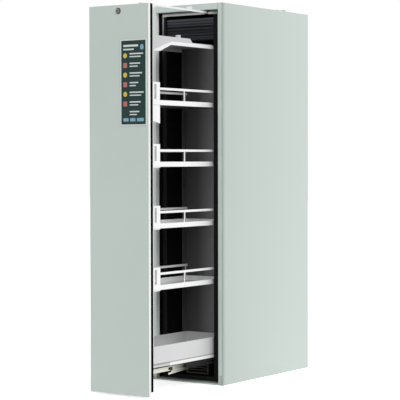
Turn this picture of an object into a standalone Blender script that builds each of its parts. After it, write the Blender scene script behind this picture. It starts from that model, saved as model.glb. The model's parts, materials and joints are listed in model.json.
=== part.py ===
"""A tall narrow safety cabinet with one vertical drawer, standing open.

Metres, +Z up. The origin is the middle of the casing's footprint, on the floor.
The casing's open side faces -Y, and the drawer pulls out towards -Y.
"""
import math

import bmesh
import bpy
from mathutils import Vector

OBJECT_NAME = "safety_cabinet"

# Casing
CASE_W = 0.450
CASE_D = 0.860
CASE_H = 1.966
SHEET = 0.0012
GAP = 0.0003
FOLD_R = 0.0025
JAMB_FACE = 0.0295
HEADER_FACE = 0.0325
REVEAL_DEPTH = 0.030
BACK_FLANGE = 0.022
SILL_H = 0.008

# Fire insulation and lining
SIDE_WALL = 0.075
BACK_WALL = 0.065
ROOF_WALL = 0.0515
FLOOR_WALL = 0.035
LINING = 0.003

# Rebate and its seal
REBATE_T = 0.004
SEAL_T = 0.004
SEAL_W = 0.019
SEAL_TOP_W = 0.003
SEAL_INSET = 0.0012
SILL_CLEAR = 0.0005

# Drawer front
FRONT_PROUD = 0.012
FRONT_SIDE_CLEAR = 0.0145
FRONT_TOP_CLEAR = 0.0135
FRONT_Z0 = 0.010
SKIN_DEPTH = 0.017
FRONT_SEAL_T = 0.020
FRONT_SEAL_W = 0.030
FRONT_DEPTH = 0.080
PLUG_CLEAR = 0.004
PLUG_Z0 = 0.045
PLUG_TOP_CLEAR = 0.012
FRONT_SEAL_RISE = 0.022
SKIN_EDGE_R = 0.002

# Sign panel on the drawer front
SIGN_SIDE = 0.008
SIGN_W = 0.158
SIGN_DROP = 0.172
SIGN_H = 0.418
SIGN_T = 0.003
SIGN_RIM_W = 0.005
SIGN_RECESS = 0.001

# Drawer frame
DRAWER_SIDE_CLEAR = 0.010
DRAWER_REAR_CLEAR = 0.0287
FRAME_SHEET = 0.0015
TRAY_Z0 = 0.1388
TRAY_Z1 = 0.243
TRAY_RIM = 0.006
TRAY_RIM_H = 0.010
TRAY_SIDE_CLEAR = 0.0005
CARRIAGE_SETBACK = 0.150
CARRIAGE_OVER = 0.003
CARRIAGE_LIP = 0.0162
FRONT_UPRIGHT_DEPTH = 0.016
REAR_UPRIGHT_DEPTH = 0.042
UPRIGHT_TOP_CLEAR = 0.0023
TOP_PLATE_DROP = 0.039
TOP_WEB_UP = 0.0205
TOP_WEB_L = 0.330
TOP_WEB_FADE = 0.022
TOP_LIP_H = 0.020
TOP_LIP_OUT = 0.003
TOP_LIP_SETBACK = 0.158
GUSSET_H = 0.055
GUSSET_L = 0.072
GUSSET_RUN = 0.093
TOP_KNOB_R = 0.013
TOP_KNOB_H = 0.034
TOP_KNOB_SETBACK = 0.2507
TOP_KNOB_IN = 0.016

# Shelves
SHELF_COUNT = 4
SHELF_LIP_TOP = 0.5435
SHELF_TOP_OVER = 0.0085
SHELF_LIP_H = 0.025
SHELF_SIDE_CLEAR = 0.004
SHELF_HEM = 0.004
SHELF_HEM_H = 0.006
RAIL_RISE = 0.062
RAIL_H = 0.012
RAIL_T = 0.006
GUARD_SHEET = 0.0018
GUARD_RISE = 0.088
GUARD_DROP = 0.004
TOP_GUARD_DROP = 0.092
GUARD_SLANT = 0.018
GUARD_DEPTH = 0.073
GUARD_SLOT_W = 0.018
GUARD_SLOT_Z0 = 0.004
GUARD_SLOT_H = 0.074
GUARD_SLOT_IN = 0.029
GUARD_RAIL_LAP = 0.007
POST_W = 0.006
REAR_POST_IN = 0.012
POST_FROM_FRONT = 0.284
GUARD_WEB_H = 0.060

# Telescopic slides, one pair: heights are from the middle of the rails
RAIL_MID_Z = 0.1195
RAIL_SIDE_CLEAR = 0.0025
RAIL_WEB = 0.0025
RAIL_HALF_H = 0.0135
RAIL_LEAF = 0.0025
RAIL_RUN = 0.0006
RAIL_SECTION = 0.014
RAIL_REAR_CLEAR = 0.035
RAIL_LAP = 0.107
RAIL_SETBACK = 0.005
NOSE_L = 0.165
KEEL_L = 0.172
KEEL_END_Z = 0.0975
KEEL_Z = 0.088
NOTCH_AHEAD = 0.002
NOTCH_L = 0.026
NOTCH_Z0 = 0.0965
NOTCH_Z1 = 0.121
CARRIER_T = 0.0019
CARRIER_FOOT = 0.032

# Top guide
GUIDE_SIDE = 0.045
GUIDE_BAR_W = 0.010
GUIDE_BAR_RISE = 0.0045
GUIDE_BAR_H = 0.010
GUIDE_BAR_OVER = 0.0017
GUIDE_FOOT_L = 0.009
GUIDE_CHANNEL_W = 0.022
GUIDE_CHANNEL_T = 0.002
GUIDE_CHANNEL_RISE = 0.0025
GUIDE_CHANNEL_H = 0.019
GUIDE_GROOVE_CLEAR = 0.0006

# Air path
GRILLE_H = 0.106
GRILLE_TOP_DROP = 0.0165
GRILLE_T = 0.014
GRILLE_RIBS = 7
GRILLE_RIB_DEPTH = 0.006
GRILLE_SETBACK = 0.003
FLOOR_DUCT_SETBACK = 0.0173
GRILLE_CLEAR = 0.001
PLENUM_SHEET = 0.0012
DUCT_R = 0.0375
DUCT_WALL = 0.0012
DUCT_RISE = 0.030
DUCT_FLANGE_R = 0.048
DUCT_FLANGE_T = 0.002
DUCT_SEGMENTS = 40
DUCT_SIDE = 0.090
EXHAUST_REAR = 0.065
SUPPLY_REAR_CLEAR = 0.0004
DAMPER_DROP = 0.0115
DAMPER_CLEAR = 0.0012
DAMPER_T = 0.002
SPINDLE_R = 0.003
SPINDLE_CLEAR = 0.0003
RISER_W = 0.100
RISER_DEPTH = 0.045
RISER_Z0 = 0.045
RISER_MOUTH_W = 0.045
RISER_MOUTH_H = 0.062
RISER_MOUTH_RISE = 0.008
FLOOR_DUCT_SIDE = 0.080
FLOOR_DUCT_H = 0.090
FLOOR_DUCT_FRAME = 0.008
FLOOR_DUCT_BARS = 5
FLOOR_DUCT_BAR_H = 0.004

# Feet, lock and header boss
FOOT_SIDE = 0.045
FOOT_END = 0.075
FOOT_R = 0.020
FOOT_PAD = 0.008
FOOT_STUD_R = 0.006
FOOT_H = 0.026
FOOT_CLEAR = 0.0015
LOCK_DROP = 0.030
LOCK_HEAD_R = 0.012
LOCK_HEAD_T = 0.005
LOCK_BODY_R = 0.009
LOCK_BODY_L = 0.0125
LOCK_CLEAR = 0.0003
LOCK_SLOT_W = 0.0022
LOCK_SLOT_L = 0.009
LOCK_SLOT_DEPTH = 0.003
LOCK_CAM_L = 0.018
LOCK_CAM_W = 0.008
LOCK_CAM_T = 0.002
LOCK_POCKET_R = 0.021
BOSS_X = 0.022
BOSS_DROP = 0.0185
BOSS_W = 0.032
BOSS_H = 0.015
BOSS_T = 0.007

CUT_OVER = 0.010
RIB_FACE_SHARES = (0.25, 0.75)
ROUND_SEGMENTS = 32
BOSS_STEPS = 8

# Derived planes of the casing
HALF_W = CASE_W / 2
HALF_D = CASE_D / 2
IN_X = HALF_W - SIDE_WALL
OPEN_X = HALF_W - JAMB_FACE
OPEN_Z1 = CASE_H - HEADER_FACE
REBATE_Y = -HALF_D + REVEAL_DEPTH
LINING_Y = REBATE_Y + REBATE_T + GAP
BACK_Y = HALF_D - BACK_WALL
CEILING_Z = CASE_H - ROOF_WALL
FLOOR_Z = FLOOR_WALL
SHELL_X = HALF_W - SHEET - GAP
SHELL_Y = HALF_D - 2 * SHEET - 2 * GAP
BOARD_X = IN_X + LINING + GAP

# Derived places of the air path, the feet and the header boss
GRILLE_Z1 = CEILING_Z - GRILLE_TOP_DROP
GRILLE_Z0 = GRILLE_Z1 - GRILLE_H
EXHAUST_X = DUCT_SIDE - IN_X
EXHAUST_Y = BACK_Y - EXHAUST_REAR
SUPPLY_X = IN_X - DUCT_SIDE
SUPPLY_Y = SHELL_Y - 2 * GAP - DUCT_R - SUPPLY_REAR_CLEAR
DAMPER_Z = CASE_H - DAMPER_DROP
FLOOR_DUCT_W = 2 * (IN_X - FLOOR_DUCT_SIDE)
FOOT_X = HALF_W - FOOT_SIDE
FOOT_Y = HALF_D - FOOT_END
BOSS_Z = CASE_H - BOSS_DROP

# Derived sizes of the slides and the top guide
SLIDE_Y0 = -HALF_D + FRONT_DEPTH + RAIL_SETBACK
RAIL_L = BACK_Y - RAIL_REAR_CLEAR - SLIDE_Y0
TRAVEL = RAIL_L - RAIL_LAP
RAIL_BACK_U = IN_X - RAIL_SIDE_CLEAR
GUIDE_X = IN_X - GUIDE_SIDE
GUIDE_BAR_Z0 = CEILING_Z + GUIDE_BAR_RISE
GUIDE_BAR_Z1 = GUIDE_BAR_Z0 + GUIDE_BAR_H
GUIDE_CHANNEL_Z0 = CEILING_Z + GUIDE_CHANNEL_RISE
GUIDE_CHANNEL_Z1 = GUIDE_CHANNEL_Z0 + GUIDE_CHANNEL_H

# Derived planes of the drawer, standing open
FRONT_Y = -HALF_D - FRONT_PROUD - TRAVEL
SKIN_BACK_Y = FRONT_Y + SKIN_DEPTH
FRAME_Y = FRONT_Y + FRONT_DEPTH + GAP
DRAWER_END = BACK_Y - TRAVEL - DRAWER_REAR_CLEAR
PLUG_X = IN_X - PLUG_CLEAR
PLUG_Z1 = GRILLE_Z0 - PLUG_TOP_CLEAR
FRONT_W = 2 * (OPEN_X - FRONT_SIDE_CLEAR)
FRONT_Z1 = OPEN_Z1 - FRONT_TOP_CLEAR
LOCK_Z = FRONT_Z1 - LOCK_DROP
SIGN_X0 = FRONT_W / 2 - SIGN_SIDE - SIGN_W
SIGN_Z0 = FRONT_Z1 - SIGN_DROP - SIGN_H
DRAWER_X = IN_X - DRAWER_SIDE_CLEAR
TOP_PLATE_Z = GRILLE_Z0 - TOP_PLATE_DROP
UPRIGHT_TOP = TOP_PLATE_Z - UPRIGHT_TOP_CLEAR
GUSSET_Z = TOP_PLATE_Z - GUSSET_H
TOP_KNOB_Y = FRAME_Y + TOP_KNOB_SETBACK
SHELF_W = 2 * (DRAWER_X - SHELF_SIDE_CLEAR)
SHELF_PITCH = (TOP_PLATE_Z + SHELF_TOP_OVER - SHELF_LIP_TOP) / SHELF_COUNT
GUIDE_BAR_REAR = DRAWER_END + GUIDE_BAR_OVER

PAINT = ((0.479, 0.546, 0.515), 0.42, 0.0)
PAINT_LIGHT = ((0.56, 0.62, 0.59), 0.42, 0.0)
WHITE = ((0.80, 0.80, 0.82), 0.38, 0.0)
ZINC = ((0.62, 0.62, 0.60), 0.32, 0.9)
BLACK = ((0.012, 0.013, 0.014), 0.75, 0.0)
DARK = ((0.030, 0.030, 0.031), 0.60, 0.0)
GREY = ((0.16, 0.17, 0.17), 0.60, 0.0)
BOARD = ((0.62, 0.60, 0.55), 0.90, 0.0)
SIGN = ((0.020, 0.042, 0.043), 0.35, 0.0)
CHROME = ((0.70, 0.70, 0.70), 0.18, 1.0)

for old in list(bpy.data.objects):
    bpy.data.objects.remove(old, do_unlink=True)

parts = bpy.data.collections.new(OBJECT_NAME)
cutters = bpy.data.collections.new("cutters")
bpy.context.scene.collection.children.link(parts)
bpy.context.scene.collection.children.link(cutters)


def rig(name, location):
    """An empty that carries one moving group, on the group's axis."""
    empty = bpy.data.objects.new(name, None)
    empty.empty_display_size = SIDE_WALL
    empty.location = location
    parts.objects.link(empty)
    return empty


CABINET = rig("cabinet_frame", (0, 0, 0))
DRAWER = rig("drawer_axis", (0, FRAME_Y, RAIL_MID_Z))
SLIDES = rig("slide_axis", (0, SLIDE_Y0 - TRAVEL / 2, RAIL_MID_Z))
LOCK = rig("lock_axis", (0, FRONT_Y, LOCK_Z))
EXHAUST = rig("exhaust_damper_axis", (EXHAUST_X, EXHAUST_Y, DAMPER_Z))
SUPPLY = rig("supply_damper_axis", (SUPPLY_X, SUPPLY_Y, DAMPER_Z))


def finish(name, look):
    """A material of the object's own, from its colour, roughness and metallic value."""
    colour, roughness, metallic = look
    material = bpy.data.materials.new(name + "_finish")
    material.use_nodes = True
    shader = material.node_tree.nodes["Principled BSDF"]
    shader.inputs["Base Color"].default_value = (*colour, 1)
    shader.inputs["Roughness"].default_value = roughness
    shader.inputs["Metallic"].default_value = metallic
    return material


def add(name, bm, look, carrier, centre, rotation=(0, 0, 0)):
    """Turn a bmesh into a named sub-part, placed in the world and carried by its empty."""
    mesh = bpy.data.meshes.new(name)
    bmesh.ops.recalc_face_normals(bm, faces=bm.faces)
    bm.to_mesh(mesh)
    bm.free()
    thing = bpy.data.objects.new(name, mesh)
    parts.objects.link(thing)
    mesh.materials.append(finish(name, look))
    thing.parent = carrier
    thing.location = Vector(centre) - carrier.location
    thing.rotation_euler = rotation
    return thing


def as_cutter(thing):
    """Move a helper solid to the cutters, drawn as wire and left out of the model."""
    parts.objects.unlink(thing)
    cutters.objects.link(thing)
    thing.hide_render = True
    thing.display_type = "WIRE"
    return thing


def combine(target, operation, *others):
    """Cut helper solids out of a piece, or weld them to it."""
    for other in others:
        as_cutter(other)
        step = target.modifiers.new(operation.lower(), "BOOLEAN")
        step.operation = operation
        step.object = other
    return target


def cut(target, *others):
    return combine(target, "DIFFERENCE", *others)


def weld(target, *others):
    return combine(target, "UNION", *others)


def block(name, low, high, look, carrier=CABINET, edge=0.0, segments=2):
    """A rectangular solid between two corners, with its edges eased."""
    low = Vector(low)
    high = Vector(high)
    bm = bmesh.new()
    bmesh.ops.create_cube(bm, size=1)
    bmesh.ops.scale(bm, vec=high - low, verts=bm.verts)
    thing = add(name, bm, look, carrier, (low + high) / 2)
    if edge:
        soften(thing, edge, segments)
    return thing


def soften(thing, width, segments=2):
    """Ease the edges of a piece."""
    bevel = thing.modifiers.new("eased_edges", "BEVEL")
    bevel.width = width
    bevel.segments = segments
    bevel.limit_method = "ANGLE"
    return bevel


def tube_solid(name, radius, low, high, look, carrier=CABINET, segments=ROUND_SEGMENTS):
    """A round solid from its lower to its upper end, both points on one axis."""
    low = Vector(low)
    high = Vector(high)
    bm = bmesh.new()
    bmesh.ops.create_cone(bm, cap_ends=True, segments=segments, radius1=radius, radius2=radius,
                          depth=(high - low).length)
    turn = (high - low).to_track_quat("Z", "Y").to_euler()
    return add(name, bm, look, carrier, (low + high) / 2, turn)


def turned(name, profile, look, carrier, centre, rotation=(0, 0, 0), segments=ROUND_SEGMENTS):
    """A turned piece: a closed profile of radius and height, run down its outer side."""
    bm = bmesh.new()
    points = [bm.verts.new((radius, 0, height)) for radius, height in profile]
    for first, second in zip(points, points[1:]):
        bm.edges.new((first, second))
    if profile[0][0] > 0:
        bm.edges.new((points[-1], points[0]))
    mesh = bpy.data.meshes.new(name)
    bm.to_mesh(mesh)
    bm.free()
    thing = bpy.data.objects.new(name, mesh)
    parts.objects.link(thing)
    mesh.materials.append(finish(name, look))
    spin = thing.modifiers.new("turned", "SCREW")
    spin.steps = segments
    spin.render_steps = segments
    spin.use_merge_vertices = True
    spin.merge_threshold = 0.00002
    thing.parent = carrier
    thing.location = Vector(centre) - carrier.location
    thing.rotation_euler = rotation
    return thing


TURNS = {
    "X": (math.pi / 2, 0, math.pi / 2),
    "Y": (math.pi / 2, 0, 0),
    "Z": (0, 0, 0),
}


def outline(name, points, axis, low, high, look, carrier=CABINET, holes=()):
    """A flat outline with any holes, extruded along an axis between two places.

    Points are (Y, Z) along X, (X, Z) along Y and (X, Y) along Z.
    """
    curve = bpy.data.curves.new(name, "CURVE")
    curve.dimensions = "2D"
    curve.fill_mode = "BOTH"
    curve.extrude = (high - low) / 2
    for loop in (points, *holes):
        spline = curve.splines.new("POLY")
        spline.points.add(len(loop) - 1)
        for point, (u, v) in zip(spline.points, loop):
            point.co = (u, v, 0, 1)
        spline.use_cyclic_u = True
    guide = bpy.data.objects.new(name + "_outline", curve)
    parts.objects.link(guide)
    guide.rotation_euler = TURNS[axis]
    middle = (low + high) / 2
    spot = {"X": (middle, 0, 0), "Y": (0, middle, 0), "Z": (0, 0, middle)}[axis]
    guide.location = spot
    bpy.context.view_layer.update()
    mesh = bpy.data.meshes.new_from_object(guide.evaluated_get(bpy.context.evaluated_depsgraph_get()))
    mesh.name = name
    place = guide.matrix_world.copy()
    bpy.data.objects.remove(guide, do_unlink=True)
    bm = bmesh.new()
    bm.from_mesh(mesh)
    bmesh.ops.remove_doubles(bm, verts=bm.verts, dist=0.00001)
    bmesh.ops.transform(bm, matrix=place, verts=bm.verts)
    bmesh.ops.translate(bm, vec=-Vector(carrier.location), verts=bm.verts)
    return add(name, bm, look, carrier, carrier.location)


def rounded(points, radius, steps=3):
    """An open path of points whose inner corners become arcs of one radius."""
    path = [Vector(points[0])]
    for before, corner, after in zip(points, points[1:], points[2:]):
        corner = Vector(corner)
        back = (Vector(before) - corner).normalized()
        ahead = (Vector(after) - corner).normalized()
        half = back.angle(ahead) / 2
        reach = radius / math.tan(half)
        centre = corner + (back + ahead).normalized() * radius / math.sin(half)
        start = corner + back * reach - centre
        end = corner + ahead * reach - centre
        for step in range(steps + 1):
            path.append(centre + start.normalized().slerp(end.normalized(), step / steps) * radius)
    path.append(Vector(points[-1]))
    return path


def folded(name, points, axis, low, high, thickness, look, carrier=CABINET, radius=FOLD_R, side=1):
    """Sheet metal: an open profile, folded with rounded corners, run along X, Y or Z.

    Profile points are (Y, Z) along X, (X, Z) along Y and (X, Y) along Z. The sheet
    grows from the profile to its left side as the points are followed, or to the right.
    """
    path = rounded(points, radius)
    bm = bmesh.new()
    lift = {"X": lambda u, v, w: (w, u, v), "Y": lambda u, v, w: (u, w, v), "Z": lambda u, v, w: (u, v, w)}[axis]
    near = [bm.verts.new(Vector(lift(p.x, p.y, low)) - carrier.location) for p in path]
    far = [bm.verts.new(Vector(lift(p.x, p.y, high)) - carrier.location) for p in path]
    for index in range(len(path) - 1):
        bm.faces.new((near[index], near[index + 1], far[index + 1], far[index]))
    mesh = bpy.data.meshes.new(name)
    bm.to_mesh(mesh)
    bm.free()
    thing = bpy.data.objects.new(name, mesh)
    parts.objects.link(thing)
    mesh.materials.append(finish(name, look))
    thing.parent = carrier
    wall = thing.modifiers.new("sheet", "SOLIDIFY")
    wall.thickness = thickness
    wall.offset = side if axis == "Y" else -side
    wall.use_even_offset = True
    return thing


def pan(name, low, high, thickness, look, carrier, open_face, edge=0.0):
    """A folded pan: a box without the face that points along open_face, with its wall inwards."""
    low = Vector(low)
    high = Vector(high)
    bm = bmesh.new()
    bmesh.ops.create_cube(bm, size=1)
    bmesh.ops.scale(bm, vec=high - low, verts=bm.verts)
    bm.faces.ensure_lookup_table()
    bm.normal_update()
    drop = [face for face in bm.faces if face.normal.dot(Vector(open_face)) > 0.9]
    bmesh.ops.delete(bm, geom=drop, context="FACES_ONLY")
    mesh = bpy.data.meshes.new(name)
    bm.to_mesh(mesh)
    bm.free()
    thing = bpy.data.objects.new(name, mesh)
    parts.objects.link(thing)
    mesh.materials.append(finish(name, look))
    thing.parent = carrier
    thing.location = (low + high) / 2 - carrier.location
    if edge:
        soften(thing, edge)
    wall = thing.modifiers.new("sheet", "SOLIDIFY")
    wall.thickness = thickness
    wall.offset = -1
    wall.use_even_offset = True
    return thing


def rectangle(x0, z0, x1, z1):
    return [(x0, z0), (x1, z0), (x1, z1), (x0, z1)]


def arc(u, v, radius, start, end, steps):
    """Points on a circle, from one angle in degrees to another."""
    angles = [math.radians(start + (end - start) * step / steps) for step in range(steps + 1)]
    return [(u + radius * math.cos(angle), v + radius * math.sin(angle)) for angle in angles]


def casing():
    """The painted sheet-metal shell: sides with their jambs, back, roof, base and header."""
    for word, way in (("left", -1), ("right", 1)):
        edge = way * HALF_W
        profile = [
            (edge - way * BACK_FLANGE, HALF_D),
            (edge, HALF_D),
            (edge, -HALF_D),
            (edge - way * JAMB_FACE, -HALF_D),
            (edge - way * JAMB_FACE, REBATE_Y),
        ]
        panel = folded("side_panel_" + word, profile, "Z", 0, CASE_H, SHEET, PAINT, side=-way)
        near, far = sorted((way * (OPEN_X - CUT_OVER), way * (OPEN_X + FOLD_R)))
        relief = block("roof_relief", (near, -HALF_D + FOLD_R, CASE_H - SHEET - GAP),
                       (far, LINING_Y, CASE_H + CUT_OVER), PAINT)
        cut(panel, relief)
    back_y = HALF_D - SHEET - GAP
    back_x = SHELL_X - FOLD_R
    block("back_panel", (-back_x, back_y - SHEET, 0), (back_x, back_y, CASE_H), PAINT)
    roof = block("roof_panel", (-SHELL_X, -HALF_D + FOLD_R + GAP, CASE_H - SHEET),
                 (SHELL_X, SHELL_Y - GAP, CASE_H), PAINT)
    header = [
        (-HALF_D + REVEAL_DEPTH, OPEN_Z1),
        (-HALF_D, OPEN_Z1),
        (-HALF_D, CASE_H),
    ]
    folded("header", header, "X", -OPEN_X + GAP, OPEN_X - GAP, SHEET, PAINT, side=-1)
    base = block("base_plate", (-SHELL_X, REBATE_Y + GAP, 0), (SHELL_X, SHELL_Y - GAP, SHEET), PAINT)
    sill = [
        (REBATE_Y - GAP, SILL_H),
        (-HALF_D, SILL_H),
        (-HALF_D, 0),
        (REBATE_Y + 2 * FOLD_R, 0),
    ]
    strip = folded("sill_fold", sill, "X", -OPEN_X + GAP, OPEN_X - GAP, SHEET, PAINT)
    weld(base, strip)
    for x, y in foot_places():
        hole = tube_solid("foot_hole", FOOT_R + FOOT_CLEAR, (x, y, -CUT_OVER), (x, y, CUT_OVER), PAINT)
        cut(base, hole)
    for x, y in ((EXHAUST_X, EXHAUST_Y), (SUPPLY_X, SUPPLY_Y)):
        hole = tube_solid("roof_hole", DUCT_R + GAP, (x, y, CASE_H - CUT_OVER), (x, y, CASE_H + CUT_OVER),
                          PAINT, segments=DUCT_SEGMENTS)
        cut(roof, hole)


def foot_places():
    return [(x, y) for x in (-FOOT_X, FOOT_X) for y in (-FOOT_Y, FOOT_Y)]


def insulation():
    """Fire boards behind the sheet metal, and the dark lining that faces the drawer."""
    board_low = SHEET + GAP
    board_high = CASE_H - SHEET - GAP
    rear = SHELL_Y - GAP
    for word, way in (("left", -1), ("right", 1)):
        inner, outer = sorted((way * BOARD_X, way * SHELL_X))
        board = block("side_board_" + word, (inner, LINING_Y, board_low), (outer, rear, board_high), BOARD)
        for x, y in foot_places():
            if x * way > 0:
                hole = tube_solid("side_foot_hole", FOOT_R + FOOT_CLEAR, (x, y, 0),
                                  (x, y, FOOT_H + GAP), BOARD)
                cut(board, hole)
        inner, outer = sorted((way * IN_X, way * (IN_X + LINING)))
        block("side_lining_" + word, (inner, LINING_Y, FLOOR_Z + GAP),
              (outer, BACK_Y - GAP, CEILING_Z - GAP), DARK)
    side = BOARD_X - GAP
    block("floor_board", (-side, LINING_Y, board_low), (side, rear, FLOOR_Z - LINING - GAP), BOARD)
    block("floor_lining", (-side, LINING_Y, FLOOR_Z - LINING), (side, BACK_Y - GAP, FLOOR_Z), DARK)
    top = block("top_board", (-side, LINING_Y, CEILING_Z + LINING + GAP), (side, rear, board_high), BOARD)
    ceiling = block("ceiling_lining", (-side, LINING_Y, CEILING_Z),
                    (side, BACK_Y - GAP, CEILING_Z + LINING), DARK)
    back = block("back_board", (-side, BACK_Y + LINING + GAP, FLOOR_Z - LINING),
                 (side, rear, CEILING_Z + LINING), BOARD)
    lining = block("back_lining", (-side, BACK_Y, FLOOR_Z - LINING), (side, BACK_Y + LINING, CEILING_Z + LINING),
                   DARK)
    groove_x = GUIDE_CHANNEL_W / 2 + GUIDE_GROOVE_CLEAR
    for piece in (top, ceiling):
        groove = block("guide_groove", (GUIDE_X - groove_x, LINING_Y - CUT_OVER, CEILING_Z - CUT_OVER),
                       (GUIDE_X + groove_x, BACK_Y - 2 * LINING, GUIDE_CHANNEL_Z1 + GAP), DARK)
        duct = tube_solid("exhaust_hole", DUCT_R + GAP, (EXHAUST_X, EXHAUST_Y, CEILING_Z - CUT_OVER),
                          (EXHAUST_X, EXHAUST_Y, CASE_H + CUT_OVER), DARK, segments=DUCT_SEGMENTS)
        cut(piece, groove, duct)
    duct = tube_solid("supply_hole", DUCT_R + GAP, (SUPPLY_X, SUPPLY_Y, CEILING_Z),
                      (SUPPLY_X, SUPPLY_Y, CASE_H + CUT_OVER), DARK, segments=DUCT_SEGMENTS)
    cut(top, duct)
    riser_low, riser_high = riser_box()
    room = block("riser_room", riser_low - Vector((GAP, GAP, GAP)),
                 riser_high + Vector((GAP, CUT_OVER, CUT_OVER)), BOARD)
    cut(back, room)
    for piece in (back, lining):
        cut(piece, riser_mouth("mouth_through", BACK_Y - CUT_OVER))


def riser_box():
    """The corners of the supply-air riser, which stands in a groove of the back board."""
    rear = SHELL_Y - 2 * GAP
    low = Vector((SUPPLY_X - RISER_W / 2, rear - RISER_DEPTH, RISER_Z0))
    high = Vector((SUPPLY_X + RISER_W / 2, rear, CEILING_Z + LINING))
    return low, high


def riser_mouth(name, front_y):
    """The way from the riser's foot into the floor duct."""
    side = FLOOR_DUCT_W / 2 - FLOOR_DUCT_FRAME
    low_z = RISER_Z0 + RISER_MOUTH_RISE
    low = (side - RISER_MOUTH_W, front_y, low_z)
    high = (side, riser_box()[0].y + 2 * PLENUM_SHEET, low_z + RISER_MOUTH_H)
    return block(name, low, high, BOARD)


def rebate():
    """The grey frame round the opening, behind the reveal, and the black seal on it."""
    frame = outline(
        "rebate_frame",
        rectangle(-OPEN_X + GAP, SILL_H + GAP, OPEN_X - GAP, OPEN_Z1 - GAP), "Y",
        REBATE_Y, REBATE_Y + REBATE_T, GREY,
        holes=[rectangle(-IN_X, FLOOR_Z, IN_X, CEILING_Z)])
    outer = OPEN_X - SEAL_INSET
    top = OPEN_Z1 - SEAL_INSET / 2
    low = SILL_H + SEAL_INSET
    seal = outline(
        "rebate_seal", rectangle(-outer, low, outer, top), "Y",
        REBATE_Y - GAP - SEAL_T, REBATE_Y - GAP, BLACK,
        holes=[rectangle(-outer + SEAL_W, low + SEAL_TOP_W, outer - SEAL_W, top - SEAL_TOP_W)])
    notch_x = GUIDE_CHANNEL_W / 2 + GUIDE_GROOVE_CLEAR
    for piece in (frame, seal):
        notch = block("guide_notch", (GUIDE_X - notch_x, REBATE_Y - CUT_OVER, CEILING_Z - CUT_OVER),
                      (GUIDE_X + notch_x, REBATE_Y + CUT_OVER, GUIDE_BAR_Z1 + SEAL_INSET), GREY)
        cut(piece, notch)


def air_path():
    """The exhaust plenum behind its ribbed grille, the roof spigots, the riser and the floor duct."""
    face_y = LINING_Y + GRILLE_SETBACK
    side = IN_X - GRILLE_CLEAR
    pitch = (GRILLE_Z1 - GRILLE_Z0) / GRILLE_RIBS
    front = []
    for rib in range(GRILLE_RIBS):
        z = GRILLE_Z0 + rib * pitch
        front.append((face_y + GRILLE_RIB_DEPTH, z))
        front.append((face_y, z + pitch * RIB_FACE_SHARES[0]))
        front.append((face_y, z + pitch * RIB_FACE_SHARES[1]))
    front.append((face_y + GRILLE_RIB_DEPTH, GRILLE_Z1))
    profile = front + [(face_y + GRILLE_T, GRILLE_Z1), (face_y + GRILLE_T, GRILLE_Z0)]
    outline("exhaust_grille", profile, "X", -side, side, BLACK)
    plenum_y = face_y + GRILLE_T + GAP
    plenum = pan("exhaust_plenum", (-IN_X + GAP, plenum_y, GRILLE_Z0), (IN_X - GAP, BACK_Y - GAP, GRILLE_Z1),
                 PLENUM_SHEET, GREY, CABINET, (0, -1, 0))
    hole = tube_solid("plenum_hole", DUCT_R - DUCT_WALL - GAP, (EXHAUST_X, EXHAUST_Y, GRILLE_Z1 - CUT_OVER),
                      (EXHAUST_X, EXHAUST_Y, GRILLE_Z1 + CUT_OVER), GREY, segments=DUCT_SEGMENTS)
    cut(plenum, hole)
    spigot("exhaust_spigot", EXHAUST_X, EXHAUST_Y, GRILLE_Z1 + GAP)
    spigot("supply_spigot", SUPPLY_X, SUPPLY_Y, CEILING_Z + LINING + 2 * GAP)
    damper("exhaust_damper", EXHAUST)
    damper("supply_damper", SUPPLY)
    low, high = riser_box()
    rim = rectangle(low.x, low.y, high.x, high.y)
    wall = PLENUM_SHEET
    bore = rectangle(low.x + wall, low.y + wall, high.x - wall, high.y - wall)
    riser = outline("supply_riser", rim, "Z", low.z, high.z, GREY, holes=[bore])
    cut(riser, riser_mouth("mouth_of_riser", low.y - CUT_OVER))
    floor_duct(-HALF_D + FRONT_DEPTH + FLOOR_DUCT_SETBACK)


def spigot(name, x, y, low_z):
    """A round duct through the roof, with its flange on the sheet and holes for the spindle."""
    inner = DUCT_R - DUCT_WALL
    seat = CASE_H + GAP
    top = CASE_H + DUCT_RISE
    profile = [
        (DUCT_R, top),
        (DUCT_R, seat + DUCT_FLANGE_T),
        (DUCT_FLANGE_R, seat + DUCT_FLANGE_T),
        (DUCT_FLANGE_R, seat),
        (DUCT_R, seat),
        (DUCT_R, low_z),
        (inner, low_z),
        (inner, top),
    ]
    tube = turned(name, profile, ZINC, CABINET, (x, y, 0), segments=DUCT_SEGMENTS)
    hole = tube_solid("spindle_hole", SPINDLE_R + SPINDLE_CLEAR, (x - DUCT_R - CUT_OVER, y, DAMPER_Z),
                      (x + DUCT_R + CUT_OVER, y, DAMPER_Z), ZINC, segments=16)
    return cut(tube, hole)


def damper(name, axis):
    """A round flap on a spindle across its duct, standing open."""
    inner = DUCT_R - DUCT_WALL
    centre = axis.location
    half = DAMPER_T / 2
    disc = tube_solid(name, inner - DAMPER_CLEAR, centre - Vector((0, half, 0)), centre + Vector((0, half, 0)),
                      ZINC, axis)
    reach = Vector((DUCT_R, 0, 0))
    spindle = tube_solid(name + "_spindle", SPINDLE_R, centre - reach, centre + reach, ZINC, axis, segments=16)
    return weld(disc, spindle)


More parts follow.
